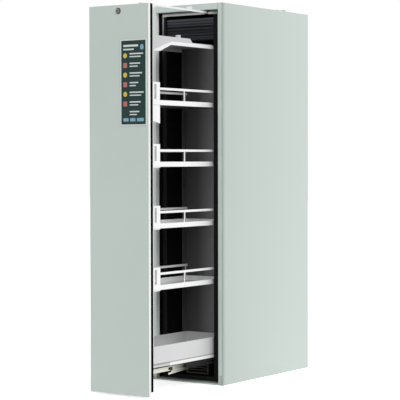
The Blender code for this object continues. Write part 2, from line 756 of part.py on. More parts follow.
def floor_duct(front_y):
    """The supply-air duct on the floor between the slides, and the barred grille before its mouth."""
    side = FLOOR_DUCT_W / 2
    low_z = FLOOR_Z + GAP
    high_z = low_z + FLOOR_DUCT_H
    shell = pan("floor_duct", (-side, front_y, low_z), (side, BACK_Y - GAP, high_z), PLENUM_SHEET, DARK,
                CABINET, (0, -1, 0))
    cut(shell, riser_mouth("mouth_of_duct", BACK_Y - CUT_OVER))
    mouth = rectangle(-side + FLOOR_DUCT_FRAME, low_z + FLOOR_DUCT_FRAME, side - FLOOR_DUCT_FRAME,
                      high_z - FLOOR_DUCT_FRAME)
    near_y, far_y = front_y - GAP - FRAME_SHEET, front_y - GAP
    grille = outline("duct_grille", rectangle(-side, low_z, side, high_z), "Y", near_y, far_y, DARK,
                     holes=[mouth])
    pitch = (high_z - low_z - 2 * FLOOR_DUCT_FRAME) / (FLOOR_DUCT_BARS + 1)
    for number in range(FLOOR_DUCT_BARS):
        z = low_z + FLOOR_DUCT_FRAME + pitch * (number + 1)
        reach = side - FLOOR_DUCT_FRAME / 2
        weld(grille, block("duct_bar", (-reach, near_y, z - FLOOR_DUCT_BAR_H / 2),
                           (reach, far_y, z + FLOOR_DUCT_BAR_H / 2), DARK))


def feet():
    """Four levelling feet in pockets of the base: pad, neck and stud."""
    profile = [
        (0, FOOT_H),
        (FOOT_STUD_R, FOOT_H),
        (FOOT_STUD_R, FOOT_PAD * 2),
        (FOOT_STUD_R * 1.5, FOOT_PAD),
        (FOOT_R, FOOT_PAD * 0.75),
        (FOOT_R, 0),
        (0, 0),
    ]
    for number, (x, y) in enumerate(foot_places(), 1):
        turned("levelling_foot_%d" % number, profile, BLACK, CABINET, (x, y, 0), segments=24)


def header_boss():
    """The small long-round boss near the middle of the header."""
    radius = BOSS_H / 2
    reach = BOSS_W / 2 - radius
    shape = arc(BOSS_X + reach, BOSS_Z, radius, -90, 90, BOSS_STEPS)
    shape += arc(BOSS_X - reach, BOSS_Z, radius, 90, 270, BOSS_STEPS)
    seat_y = -HALF_D - GAP
    boss = outline("header_boss", shape, "Y", seat_y - BOSS_T, seat_y, WHITE)
    soften(boss, BOSS_T / 4)


def drawer_front():
    """The insulated front: painted skin, stepped insulation, black seal and the sign panel."""
    half = FRONT_W / 2
    skin = pan("front_skin", (-half, FRONT_Y, FRONT_Z0), (half, SKIN_BACK_Y, FRONT_Z1), SHEET, PAINT, DRAWER,
               (0, 1, 0), edge=SKIN_EDGE_R)
    inset = SHEET + GAP
    core = block("front_insulation", (-half + inset, FRONT_Y + inset, FRONT_Z0 + inset),
                 (half - inset, SKIN_BACK_Y, FRONT_Z1 - inset), WHITE, DRAWER, edge=SKIN_EDGE_R)
    plug = block("front_plug", (-PLUG_X, SKIN_BACK_Y - SHEET, PLUG_Z0),
                 (PLUG_X, FRONT_Y + FRONT_DEPTH, PLUG_Z1), WHITE, DRAWER)
    weld(core, plug)
    hole = tube_solid("lock_hole", LOCK_BODY_R + LOCK_CLEAR, (0, FRONT_Y - CUT_OVER, LOCK_Z),
                      (0, FRONT_Y + SHEET + CUT_OVER / 2, LOCK_Z), PAINT, DRAWER)
    cut(skin, hole)
    pocket = tube_solid("lock_pocket", LOCK_POCKET_R, (0, FRONT_Y, LOCK_Z),
                        (0, SKIN_BACK_Y + CUT_OVER, LOCK_Z), WHITE, DRAWER)
    cut(core, pocket)
    seal_x = half - SEAL_INSET / 2
    seal_z0 = FRONT_Z0 + FRONT_SEAL_RISE
    seal_z1 = FRONT_Z1 - SEAL_INSET / 2
    outline("front_seal", rectangle(-seal_x, seal_z0, seal_x, seal_z1), "Y", SKIN_BACK_Y + GAP,
            SKIN_BACK_Y + FRONT_SEAL_T, BLACK, DRAWER,
            holes=[rectangle(-seal_x + FRONT_SEAL_W, PLUG_Z0 - GAP, seal_x - FRONT_SEAL_W,
                             seal_z1 - FRONT_SEAL_W)])
    sign_y = FRONT_Y - GAP
    sign = block("sign_panel", (SIGN_X0, sign_y - SIGN_T, SIGN_Z0), (SIGN_X0 + SIGN_W, sign_y, SIGN_Z0 + SIGN_H),
                 SIGN, DRAWER)
    recess = block("sign_recess", (SIGN_X0 + SIGN_RIM_W, sign_y - SIGN_T - CUT_OVER, SIGN_Z0 + SIGN_RIM_W),
                   (SIGN_X0 + SIGN_W - SIGN_RIM_W, sign_y - SIGN_T + SIGN_RECESS, SIGN_Z0 + SIGN_H - SIGN_RIM_W),
                   SIGN, DRAWER)
    cut(sign, recess)


def lock_cylinder():
    """The lock barrel with its key slot, and the cam behind the skin."""
    head_y = FRONT_Y - GAP
    barrel = tube_solid("lock_cylinder", LOCK_HEAD_R, (0, head_y - LOCK_HEAD_T, LOCK_Z), (0, head_y, LOCK_Z),
                        CHROME, LOCK)
    soften(barrel, LOCK_HEAD_T / 4)
    body = tube_solid("lock_body", LOCK_BODY_R, (0, head_y - LOCK_HEAD_T / 2, LOCK_Z),
                      (0, FRONT_Y + LOCK_BODY_L, LOCK_Z), CHROME, LOCK)
    cam_y = FRONT_Y + LOCK_BODY_L
    cam = block("lock_cam", (-LOCK_CAM_W / 2, cam_y - LOCK_CAM_T / 2, LOCK_Z - LOCK_CAM_L),
                (LOCK_CAM_W / 2, cam_y + LOCK_CAM_T / 2, LOCK_Z + LOCK_CAM_W / 2), CHROME, LOCK)
    weld(barrel, body, cam)
    slot = block("key_slot", (-LOCK_SLOT_W / 2, head_y - LOCK_HEAD_T - CUT_OVER, LOCK_Z - LOCK_SLOT_L / 2),
                 (LOCK_SLOT_W / 2, head_y - LOCK_HEAD_T + LOCK_SLOT_DEPTH, LOCK_Z + LOCK_SLOT_L / 2), CHROME, LOCK)
    cut(barrel, slot)


def channel_upright(name, y, way, depth, look):
    """A U-shaped upright: its web against the drawer's end, its flanges along the sides."""
    tip = y + way * depth
    profile = [(-DRAWER_X, tip), (-DRAWER_X, y), (DRAWER_X, y), (DRAWER_X, tip)]
    return folded(name, profile, "Z", TRAY_Z1 + GAP, UPRIGHT_TOP, FRAME_SHEET, look, DRAWER, side=way)


def drawer_frame():
    """The white drawer frame: uprights, top plate, spill tray and the carriage under it."""
    channel_upright("front_upright", FRAME_Y, 1, FRONT_UPRIGHT_DEPTH, WHITE)
    channel_upright("rear_upright", DRAWER_END, -1, REAR_UPRIGHT_DEPTH, GREY)
    top_plate()
    tray_x = DRAWER_X + CARRIAGE_OVER - FRAME_SHEET - TRAY_SIDE_CLEAR
    tray = pan("spill_tray", (-tray_x, FRAME_Y, TRAY_Z0), (tray_x, DRAWER_END, TRAY_Z1), FRAME_SHEET, WHITE,
               DRAWER, (0, 0, 1), edge=FOLD_R)
    rim = outline("tray_rim", rectangle(-tray_x, FRAME_Y, tray_x, DRAWER_END), "Z", TRAY_Z1 - TRAY_RIM_H,
                  TRAY_Z1, WHITE, DRAWER,
                  holes=[rectangle(-tray_x + TRAY_RIM, FRAME_Y + TRAY_RIM, tray_x - TRAY_RIM,
                                   DRAWER_END - TRAY_RIM)])
    weld(tray, rim)
    carriage_x = DRAWER_X + CARRIAGE_OVER
    low = TRAY_Z0 - GAP - FRAME_SHEET
    profile = [
        (-carriage_x, low + CARRIAGE_LIP),
        (-carriage_x, low),
        (carriage_x, low),
        (carriage_x, low + CARRIAGE_LIP),
    ]
    folded("drawer_carriage", profile, "Y", FRAME_Y + CARRIAGE_SETBACK, DRAWER_END, FRAME_SHEET, WHITE, DRAWER,
           radius=FRAME_SHEET * 1.5)


def top_plate():
    """The plate on top of the drawer, with its side webs, front gussets, proud lips and a knob."""
    low = TOP_PLATE_Z - FRAME_SHEET
    inner = DRAWER_X + GAP
    outer = inner + FRAME_SHEET
    middle = inner + FRAME_SHEET / 2
    plate = block("top_plate", (-middle, FRAME_Y, low), (middle, DRAWER_END, TOP_PLATE_Z), WHITE, DRAWER)
    lip_z = TOP_PLATE_Z - TOP_LIP_H
    web = [
        (FRAME_Y + GAP, TOP_PLATE_Z + TOP_WEB_UP),
        (FRAME_Y + GAP, GUSSET_Z),
        (FRAME_Y + GUSSET_L, GUSSET_Z),
        (FRAME_Y + GUSSET_L + GUSSET_RUN, lip_z + GAP),
        (DRAWER_END - GAP, lip_z + GAP),
        (DRAWER_END - GAP, TOP_PLATE_Z + GAP),
        (FRAME_Y + TOP_WEB_L + TOP_WEB_FADE, TOP_PLATE_Z + GAP),
        (FRAME_Y + TOP_WEB_L, TOP_PLATE_Z + TOP_WEB_UP),
    ]
    lip_top = TOP_PLATE_Z - FRAME_SHEET / 2
    lip = [
        (FRAME_Y + TOP_LIP_SETBACK, lip_z),
        (DRAWER_END - 2 * GAP, lip_z),
        (DRAWER_END - 2 * GAP, lip_top),
        (FRAME_Y + TOP_LIP_SETBACK, lip_top),
    ]
    for way in (-1, 1):
        near, far = sorted((way * inner, way * outer))
        weld(plate, outline("top_web", web, "X", near, far, WHITE, DRAWER))
        near, far = sorted((way * middle, way * (DRAWER_X + TOP_LIP_OUT)))
        weld(plate, outline("top_lip", lip, "X", near, far, WHITE, DRAWER))
    knob_x = DRAWER_X - TOP_KNOB_IN
    knob = tube_solid("top_knob", TOP_KNOB_R, (knob_x, TOP_KNOB_Y, low), (knob_x, TOP_KNOB_Y, TOP_PLATE_Z + TOP_KNOB_H),
                      WHITE, DRAWER, segments=24)
    weld(plate, knob)


def shelves():
    """Four lipped shelves, each with a guard of rails and slotted end brackets."""
    for number in range(SHELF_COUNT):
        lip_top = SHELF_LIP_TOP + SHELF_PITCH * number
        shelf(number + 1, lip_top)
        guard(number + 1, lip_top)


def shelf(number, lip_top):
    """A shallow tray with a hemmed lip."""
    half = SHELF_W / 2
    front = FRAME_Y + FRAME_SHEET + GUARD_SHEET + 2 * GAP
    rear = DRAWER_END - FRAME_SHEET - GUARD_SHEET - 2 * GAP
    tray = pan("shelf_%d" % number, (-half, front, lip_top - SHELF_LIP_H), (half, rear, lip_top), FRAME_SHEET,
               WHITE, DRAWER, (0, 0, 1), edge=FOLD_R)
    hem = outline("shelf_hem", rectangle(-half, front, half, rear), "Z", lip_top - SHELF_HEM_H, lip_top, WHITE,
                  DRAWER, holes=[rectangle(-half + SHELF_HEM, front + SHELF_HEM, half - SHELF_HEM,
                                           rear - SHELF_HEM)])
    weld(tray, hem)


def guard(number, lip_top):
    """The guard of one shelf: a slotted U bracket at the front, then a rail and two posts on each side."""
    outer = DRAWER_X - FRAME_SHEET - GAP
    base, tip = guard_bracket(number, lip_top, outer)
    rear = DRAWER_END - FRAME_SHEET - GAP
    rail_z = lip_top + RAIL_RISE
    for way in (-1, 1):
        near, far = sorted((way * outer, way * (outer - RAIL_T)))
        rail = block("guard_rail", (near, tip - GUARD_RAIL_LAP, rail_z - RAIL_H), (far, rear, rail_z), WHITE,
                     DRAWER, edge=RAIL_T / 4)
        weld(base, rail)
        foot_near, foot_far = sorted((way * outer, way * (SHELF_W / 2 + GAP)))
        for post_y in (FRAME_Y + POST_FROM_FRONT, rear - REAR_POST_IN):
            post = block("guard_post", (foot_near, post_y - POST_W / 2, lip_top - SHELF_LIP_H / 2),
                         (foot_far, post_y + POST_W / 2, rail_z - RAIL_H / 2), WHITE, DRAWER)
            weld(base, post)


def guard_bracket(number, lip_top, outer):
    """The folded front bracket of one guard, and the place of its open end."""
    long_drop = number == SHELF_COUNT
    low = lip_top - SHELF_LIP_H - (TOP_GUARD_DROP if long_drop else GUARD_DROP)
    high = lip_top + GUARD_RISE
    y = FRAME_Y + FRAME_SHEET + GAP
    tip = y + GUARD_DEPTH
    profile = [(-outer, tip), (-outer, y), (outer, y), (outer, tip)]
    bracket = folded("shelf_guard_%d" % number, profile, "Z", low, high, GUARD_SHEET, WHITE, DRAWER)
    windows = [(lip_top + GUARD_WEB_H, high + CUT_OVER)]
    if long_drop:
        windows.append((low + GUARD_WEB_H, lip_top - SHELF_LIP_H - GUARD_WEB_H / 4))
        slant = [
            (tip + CUT_OVER, low - GAP),
            (y - CUT_OVER, low - CUT_OVER),
            (y - CUT_OVER, low + GUARD_SLANT),
        ]
        cut(bracket, outline("end_slant", slant, "X", -CASE_W, CASE_W, WHITE, DRAWER))
    for window_low, window_high in windows:
        cut(bracket, block("end_window", (-outer + GUARD_DEPTH / 2, y - CUT_OVER, window_low),
                           (outer - GUARD_DEPTH / 2, y + CUT_OVER, window_high), WHITE, DRAWER))
    slot_end = tip - GUARD_SLOT_IN
    slot_low = lip_top + GUARD_SLOT_Z0
    cut(bracket, block("guard_slot", (-CASE_W, slot_end - GUARD_SLOT_W, slot_low),
                       (CASE_W, slot_end, slot_low + GUARD_SLOT_H), WHITE, DRAWER))
    return bracket, tip


def c_rail(back_u, tip_u, half_h, leaf, web, mirror):
    """A C section in (X, Z) whose web stands at back_u and whose leaves reach to tip_u."""
    toward = 1 if tip_u > back_u else -1
    web_u = back_u + toward * web
    points = [
        (back_u, RAIL_MID_Z - half_h),
        (tip_u, RAIL_MID_Z - half_h),
        (tip_u, RAIL_MID_Z - half_h + leaf),
        (web_u, RAIL_MID_Z - half_h + leaf),
        (web_u, RAIL_MID_Z + half_h - leaf),
        (tip_u, RAIL_MID_Z + half_h - leaf),
        (tip_u, RAIL_MID_Z + half_h),
        (back_u, RAIL_MID_Z + half_h),
    ]
    return [(mirror * u, z) for u, z in points]


def slides():
    """Two three-part telescopic slides: fixed, middle and drawer rails, each leaf inside the next."""
    inner_half = RAIL_HALF_H - RAIL_LEAF - RAIL_RUN
    middle_web_u = RAIL_BACK_U - RAIL_SECTION - RAIL_RUN - RAIL_WEB
    drawer_back_u = middle_web_u - RAIL_SECTION
    for word, way in (("left", -1), ("right", 1)):
        fixed = c_rail(RAIL_BACK_U, RAIL_BACK_U - RAIL_SECTION, RAIL_HALF_H, RAIL_LEAF, RAIL_WEB, way)
        outline("slide_fixed_" + word, fixed, "Y", SLIDE_Y0, SLIDE_Y0 + RAIL_L, ZINC)
        start = SLIDE_Y0 - TRAVEL / 2
        tongue = c_rail(middle_web_u, RAIL_BACK_U - RAIL_WEB - RAIL_RUN, inner_half, RAIL_LEAF, RAIL_WEB, way)
        middle = outline("slide_middle_" + word, tongue, "Y", start, start + RAIL_L, ZINC, SLIDES)
        embrace = c_rail(middle_web_u + RAIL_WEB, middle_web_u - RAIL_SECTION + RAIL_WEB + RAIL_RUN, RAIL_HALF_H,
                         RAIL_LEAF, RAIL_WEB, way)
        weld(middle, outline("middle_embrace", embrace, "Y", start, start + RAIL_L, ZINC, SLIDES))
        drawer_rail(word, way, drawer_back_u, middle_web_u - RAIL_RUN, inner_half)
        carrier(word, way)


def drawer_rail(word, way, back_u, tip_u, half_h):
    """The rail on the drawer: a slim nose that reaches to the front, then a tapering keel below it."""
    start = FRONT_Y + FRONT_DEPTH + RAIL_SETBACK
    section = c_rail(back_u, tip_u, half_h, RAIL_LEAF, RAIL_WEB, way)
    rail = outline("slide_drawer_" + word, section, "Y", start, start + RAIL_L, ZINC, DRAWER)
    near, far = sorted((way * back_u, way * (back_u + RAIL_WEB)))
    seat_z = TRAY_Z0 - 2 * GAP - FRAME_SHEET
    seat = block("rail_seat", (near, start, RAIL_MID_Z), (far, start + RAIL_L, seat_z), ZINC, DRAWER)
    weld(rail, seat)
    nose_end = start + NOSE_L
    keel_top = RAIL_MID_Z - half_h / 2
    keel = [
        (nose_end, KEEL_Z),
        (nose_end + KEEL_L, KEEL_END_Z),
        (nose_end + KEEL_L, keel_top),
        (nose_end, keel_top),
    ]
    weld(rail, outline("rail_keel", keel, "X", near + GAP, far - GAP, ZINC, DRAWER))
    notch_y = nose_end - NOTCH_AHEAD
    cut(rail, block("rail_notch", (-CASE_W, notch_y, NOTCH_Z0), (CASE_W, notch_y + NOTCH_L, NOTCH_Z1), ZINC,
                    DRAWER))


def carrier(word, way):
    """The angle on the floor that carries a fixed rail."""
    inner = RAIL_BACK_U + GAP
    profile = [
        (way * (inner + CARRIER_T), RAIL_MID_Z + RAIL_HALF_H),
        (way * (inner + CARRIER_T), FLOOR_Z + GAP),
        (way * (inner - CARRIER_FOOT), FLOOR_Z + GAP),
    ]
    folded("slide_carrier_" + word, profile, "Y", SLIDE_Y0, SLIDE_Y0 + RAIL_L, CARRIER_T, ZINC,
           radius=CARRIER_T * 1.5, side=-way)


def top_guide():
    """The bar on the drawer front and the channel under the ceiling that it runs in."""
    foot_y = SKIN_BACK_Y + FRONT_SEAL_T + GAP
    bar = [
        (foot_y, PLUG_Z1 + GAP),
        (foot_y + GUIDE_FOOT_L, PLUG_Z1 + GAP),
        (foot_y + GUIDE_FOOT_L, GUIDE_BAR_Z0),
        (GUIDE_BAR_REAR, GUIDE_BAR_Z0),
        (GUIDE_BAR_REAR, GUIDE_BAR_Z1),
        (foot_y, GUIDE_BAR_Z1),
    ]
    half = GUIDE_BAR_W / 2
    outline("guide_bar", bar, "X", GUIDE_X - half, GUIDE_X + half, WHITE, DRAWER)
    wide = GUIDE_CHANNEL_W / 2
    profile = [
        (GUIDE_X - wide, GUIDE_CHANNEL_Z0),
        (GUIDE_X - wide, GUIDE_CHANNEL_Z1),
        (GUIDE_X + wide, GUIDE_CHANNEL_Z1),
        (GUIDE_X + wide, GUIDE_CHANNEL_Z0),
    ]
    folded("guide_channel", profile, "Y", LINING_Y + 2 * GAP, BACK_Y - 3 * LINING, GUIDE_CHANNEL_T, ZINC,
           radius=GUIDE_CHANNEL_T * 1.5, side=-1)


casing()
insulation()
rebate()
air_path()
feet()
header_boss()
drawer_front()
lock_cylinder()
drawer_frame()
shelves()
slides()
top_guide()
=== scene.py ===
"""The looks of a tall safety cabinet with one vertical drawer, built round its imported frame."""
import json
import math

import bmesh
import bpy
from bpy.props import FloatProperty, FloatVectorProperty, IntProperty, PointerProperty
from mathutils import Matrix, Vector


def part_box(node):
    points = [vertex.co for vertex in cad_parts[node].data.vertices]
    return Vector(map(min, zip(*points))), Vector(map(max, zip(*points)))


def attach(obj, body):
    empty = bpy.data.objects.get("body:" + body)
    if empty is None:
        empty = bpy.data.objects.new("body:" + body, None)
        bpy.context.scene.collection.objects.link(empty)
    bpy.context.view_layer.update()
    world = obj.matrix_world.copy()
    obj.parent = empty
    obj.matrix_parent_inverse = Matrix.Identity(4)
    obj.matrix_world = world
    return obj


bl_info = {
    "name": "Safety Cabinet Looks",
    "version": (1, 0, 0),
    "blender": (4, 5, 0),
    "location": "View3D > Sidebar > Cabinet",
    "description": "Paint, seals, sign, slides and fasteners of a safety cabinet with a vertical drawer",
    "category": "Object",
}

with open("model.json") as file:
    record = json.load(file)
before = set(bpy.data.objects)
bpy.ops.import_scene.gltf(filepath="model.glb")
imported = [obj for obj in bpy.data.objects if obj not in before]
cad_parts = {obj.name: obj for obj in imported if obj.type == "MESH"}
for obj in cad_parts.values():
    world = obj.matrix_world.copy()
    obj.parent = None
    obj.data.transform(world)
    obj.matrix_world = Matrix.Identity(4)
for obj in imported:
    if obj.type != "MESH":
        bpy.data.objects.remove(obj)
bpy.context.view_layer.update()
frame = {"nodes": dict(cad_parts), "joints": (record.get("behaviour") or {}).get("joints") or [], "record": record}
NODES = frame["nodes"]
SLOT_OF = {row["node"]: row["material_slot"] for row in frame["record"]["subparts"]}

SIDES = (-1, 1)
MM = 0.001


# ---------------------------------------------------------------- settings

class CasingLook(bpy.types.PropertyGroup):
    """Paint of the casing and of the drawer's front."""
    paint: FloatVectorProperty(name="Paint", description="Colour of the powder coat", subtype="COLOR",
                               size=3, min=0, max=1, default=(0.519, 0.587, 0.551))
    paint_shade: FloatVectorProperty(name="Paint shade", description="Slightly deeper tone in broad patches",
                                     subtype="COLOR", size=3, min=0, max=1, default=(0.492, 0.560, 0.528))
    peel: FloatProperty(name="Peel", description="Size of the fine bumps in the coat", unit="LENGTH",
                        min=0.0002, max=0.02, default=0.0022)
    gloss: FloatProperty(name="Roughness", description="Roughness of the coat", subtype="FACTOR",
                         min=0, max=1, default=0.42)
    # How high the painted shade near the floor reaches.
    floor_shade_reach: FloatProperty(name="Dust reach", description="Height above the floor that dust reaches",
                              unit="LENGTH", min=0, max=0.5, default=0.07)


class DrawerLook(bpy.types.PropertyGroup):
    """White coat and dark steel of the drawer."""
    white: FloatVectorProperty(name="White", description="Colour of the white coat", subtype="COLOR",
                               size=3, min=0, max=1, default=(0.86, 0.86, 0.87))
    white_shade: FloatVectorProperty(name="White shade", description="Tone of the white coat in broad patches",
                                     subtype="COLOR", size=3, min=0, max=1, default=(0.80, 0.80, 0.815))
    zinc: FloatVectorProperty(name="Zinc", description="Colour of the bright zinc coat", subtype="COLOR",
                              size=3, min=0, max=1, default=(0.66, 0.66, 0.63))
    lock_ring: FloatProperty(name="Lock ring", description="Outer radius of the ring round the lock",
                             unit="LENGTH", min=0.012, max=0.03, default=0.0155)


class FastenerSizes(bpy.types.PropertyGroup):
    """Screws and rivets."""
    screw_radius: FloatProperty(name="Screw radius", description="Radius of a screw head", unit="LENGTH",
                                min=0.001, max=0.01, default=0.0045)
    screw_height: FloatProperty(name="Screw height", description="Height of a screw head", unit="LENGTH",
                                min=0.0005, max=0.005, default=0.0018)
    rivet_radius: FloatProperty(name="Rivet radius", description="Radius of a rivet head", unit="LENGTH",
                                min=0.001, max=0.01, default=0.0030)
    rivet_height: FloatProperty(name="Rivet height", description="Height of a rivet head", unit="LENGTH",
                                min=0.0003, max=0.005, default=0.0009)
    back_rows: IntProperty(name="Back rows", description="Screws up each edge of the back", min=2, max=20,
                           default=9)


class SignLook(bpy.types.PropertyGroup):
    """The plain pattern on the front."""
    field: FloatVectorProperty(name="Field", description="Dark ground of the sign", subtype="COLOR",
                               size=3, min=0, max=1, default=(0.020, 0.045, 0.043))
    rim: FloatVectorProperty(name="Rim", description="Pale rim of the sign", subtype="COLOR",
                             size=3, min=0, max=1, default=(0.66, 0.70, 0.68))
    mark_height: FloatProperty(name="Mark height", description="How far the marks stand proud", unit="LENGTH",
                               min=0.0001, max=0.001, default=0.0003)


class StageLook(bpy.types.PropertyGroup):
    """Floor, world and lamps."""
    ambient: FloatProperty(name="Ambient", description="Even light from all round", min=0, max=2, default=0.62)
    sun: FloatProperty(name="Sun", description="Strength of the soft lamp", min=0, max=10, default=1.55)
    sun_spread: FloatProperty(name="Sun spread", description="Angle that the soft lamp fills",
                              subtype="ANGLE", min=0, max=3, default=0.9)
    floor: FloatVectorProperty(name="Floor", description="Colour of the floor", subtype="COLOR",
                               size=3, min=0, max=1, default=(0.90, 0.90, 0.90))
    floor_lift: FloatProperty(name="Floor lift", description="White that the camera sees on the floor",
                              min=0, max=1, default=0.62)


# ---------------------------------------------------------------- node helpers

class Wiring:
    """Adds nodes to one tree and joins them."""

    def __init__(self, tree):
        self.tree = tree

    def node(self, kind, inputs=None, **settings):
        made = self.tree.nodes.new(kind)
        for key, value in settings.items():
            setattr(made, key, value)
        for key, value in (inputs or {}).items():
            socket = made.inputs[key]
            if isinstance(value, bpy.types.NodeSocket):
                self.tree.links.new(value, socket)
            else:
                socket.default_value = value
        return made

    def math(self, operation, first, second=0.0, clamp=False):
        return self.node("ShaderNodeMath", {0: first, 1: second}, operation=operation,
                         use_clamp=clamp).outputs[0]

    def mix(self, share, first, second, mode="MIX"):
        return self.node("ShaderNodeMix", {0: share, 6: first, 7: second}, data_type="RGBA",
                         blend_type=mode).outputs[2]

    def ramp(self, value, low, high, start=0.0, end=1.0):
        return self.node("ShaderNodeMapRange", {"Value": value, "From Min": low, "From Max": high,
                                                "To Min": start, "To Max": end}).outputs[0]

    def noise(self, vector, scale, detail=3.0, roughness=0.5):
        return self.node("ShaderNodeTexNoise", {"Vector": vector, "Scale": scale, "Detail": detail,
                                                "Roughness": roughness}).outputs[0]


KINDS = {"COLOR": "NodeSocketColor", "VALUE": "NodeSocketFloat", "VECTOR": "NodeSocketVector",
         "GEOMETRY": "NodeSocketGeometry", "MATERIAL": "NodeSocketMaterial", "INT": "NodeSocketInt"}


def new_group(name, kind, inputs, outputs):
    """A node group with named sockets, and the wiring of its inside."""
    group = bpy.data.node_groups.new(name, kind)
    for label, socket_kind, default in inputs:
        socket = group.interface.new_socket(name=label, in_out="INPUT", socket_type=KINDS[socket_kind])
        if default is not None:
            socket.default_value = default
    for label, socket_kind in outputs:
        group.interface.new_socket(name=label, in_out="OUTPUT", socket_type=KINDS[socket_kind])
    wires = Wiring(group)
    entry = wires.node("NodeGroupInput")
    leave = wires.node("NodeGroupOutput")
    return group, wires, entry.outputs, leave


def rgba(colour):
    return (*colour, 1.0)


def group_called(name, build):
    """A group that is built once and then used again."""
    found = bpy.data.node_groups.get(name)
    return found if found else build(name)


def build_coat(name):
    """Powder coat or moulded skin: broad tone, fine grain, uneven gloss."""
    group, wires, given, leave = new_group(
        name, "ShaderNodeTree",
        [("Colour", "COLOR", rgba((0.5, 0.5, 0.5))), ("Shade", "COLOR", rgba((0.4, 0.4, 0.4))),
         ("Patch size", "VALUE", 0.3), ("Grain size", "VALUE", 0.002), ("Roughness", "VALUE", 0.5),
         ("Uneven gloss", "VALUE", 0.1)],
        [("Colour", "COLOR"), ("Roughness", "VALUE"), ("Height", "VALUE")])
    place = wires.node("ShaderNodeTexCoord").outputs["Object"]
    broad = wires.noise(place, wires.math("DIVIDE", 1.0, given["Patch size"]), 3.0)
    mottle = wires.noise(place, wires.math("DIVIDE", 0.2, given["Grain size"]), 4.0, 0.6)
    share = wires.math("ADD", wires.ramp(broad, 0.3, 0.7, 0.0, 0.8), wires.ramp(mottle, 0.3, 0.7, 0.0, 0.2))
    wires.tree.links.new(wires.mix(share, given["Colour"], given["Shade"]), leave.inputs["Colour"])
    grain = wires.noise(place, wires.math("DIVIDE", 1.0, given["Grain size"]), 2.0)
    wires.tree.links.new(grain, leave.inputs["Height"])
    sway = wires.math("MULTIPLY", wires.ramp(mottle, 0.3, 0.7, -0.5, 0.5), given["Uneven gloss"])
    wires.tree.links.new(wires.math("ADD", given["Roughness"], sway, clamp=True), leave.inputs["Roughness"])
    return group


def build_floor_shade(name):
    """Painted shade near the floor: a darker grey, mottled tone low down, thinner with height."""
    group, wires, given, leave = new_group(
        name, "ShaderNodeTree",
        [("Colour", "COLOR", rgba((0.5, 0.5, 0.5))), ("Floor shade", "COLOR", rgba((0.45, 0.44, 0.41))),
         ("Reach", "VALUE", 0.07), ("Amount", "VALUE", 0.35)],
        [("Colour", "COLOR")])
    place = wires.node("ShaderNodeTexCoord").outputs["Object"]
    height = wires.node("ShaderNodeSeparateXYZ", {0: place}).outputs["Z"]
    fade = wires.math("SUBTRACT", 1.0, wires.math("DIVIDE", height, given["Reach"]), clamp=True)
    cloud = wires.ramp(wires.noise(place, 40.0, 5.0, 0.65), 0.35, 0.7)
    share = wires.math("MULTIPLY", wires.math("MULTIPLY", fade, cloud), given["Amount"])
    wires.tree.links.new(wires.mix(share, given["Colour"], given["Floor shade"]), leave.inputs["Colour"])
    return group


def build_fold_shade(name):
    """Painted shade: a darker tone along an upright fold on both sides."""
    group, wires, given, leave = new_group(
        name, "ShaderNodeTree",
        [("Colour", "COLOR", rgba((0.5, 0.5, 0.5))), ("Fold shade", "COLOR", rgba((0.3, 0.3, 0.3))),
         ("Fold x", "VALUE", 0.2), ("Fold y", "VALUE", 0.0), ("Width", "VALUE", 0.006), ("Amount", "VALUE", 0.5)],
        [("Colour", "COLOR")])
    place = wires.node("ShaderNodeTexCoord").outputs["Object"]
    parts = wires.node("ShaderNodeSeparateXYZ", {0: place}).outputs
    across = wires.math("SUBTRACT", wires.math("ABSOLUTE", parts["X"]), given["Fold x"])
    along = wires.math("SUBTRACT", parts["Y"], given["Fold y"])
    squares = wires.math("ADD", wires.math("MULTIPLY", across, across), wires.math("MULTIPLY", along, along))
    away = wires.math("DIVIDE", wires.math("SQRT", squares), given["Width"])
    share = wires.math("MULTIPLY", wires.math("SUBTRACT", 1.0, away, clamp=True), given["Amount"])
    wires.tree.links.new(wires.mix(share, given["Colour"], given["Fold shade"]), leave.inputs["Colour"])
    return group


def build_edge_highlight(name):
    """Painted highlight: a lighter colour on the side faces, behind a front plane."""
    group, wires, given, leave = new_group(
        name, "ShaderNodeTree",
        [("Colour", "COLOR", rgba((0.5, 0.5, 0.5))), ("Highlight", "COLOR", rgba((0.8, 0.8, 0.8))),
         ("Face x", "VALUE", 0.2), ("Front y", "VALUE", 0.0)],
        [("Colour", "COLOR")])
    place = wires.node("ShaderNodeTexCoord").outputs["Object"]
    parts = wires.node("ShaderNodeSeparateXYZ", {0: place}).outputs
    beside = wires.math("GREATER_THAN", wires.math("ABSOLUTE", parts["X"]), given["Face x"])
    behind = wires.math("GREATER_THAN", parts["Y"], given["Front y"])
    share = wires.math("MULTIPLY", beside, behind)
    wires.tree.links.new(wires.mix(share, given["Colour"], given["Highlight"]), leave.inputs["Colour"])
    return group


def build_rise(name):
    """Painted light or shade: a tone that comes in along one direction."""
    group, wires, given, leave = new_group(
        name, "ShaderNodeTree",
        [("Colour", "COLOR", rgba((0.1, 0.1, 0.1))), ("High colour", "COLOR", rgba((0.3, 0.3, 0.3))),
         ("Along", "VECTOR", (0.0, 0.0, 1.0)), ("Low", "VALUE", 1.4), ("High", "VALUE", 1.9),
         ("Bend", "VALUE", 2.0)],
        [("Colour", "COLOR")])
    place = wires.node("ShaderNodeTexCoord").outputs["Object"]
    run = wires.node("ShaderNodeVectorMath", {0: place, 1: given["Along"]}, operation="DOT_PRODUCT").outputs["Value"]
    share = wires.math("POWER", wires.ramp(run, given["Low"], given["High"]), given["Bend"])
    wires.tree.links.new(wires.mix(share, given["Colour"], given["High colour"]), leave.inputs["Colour"])
    return group


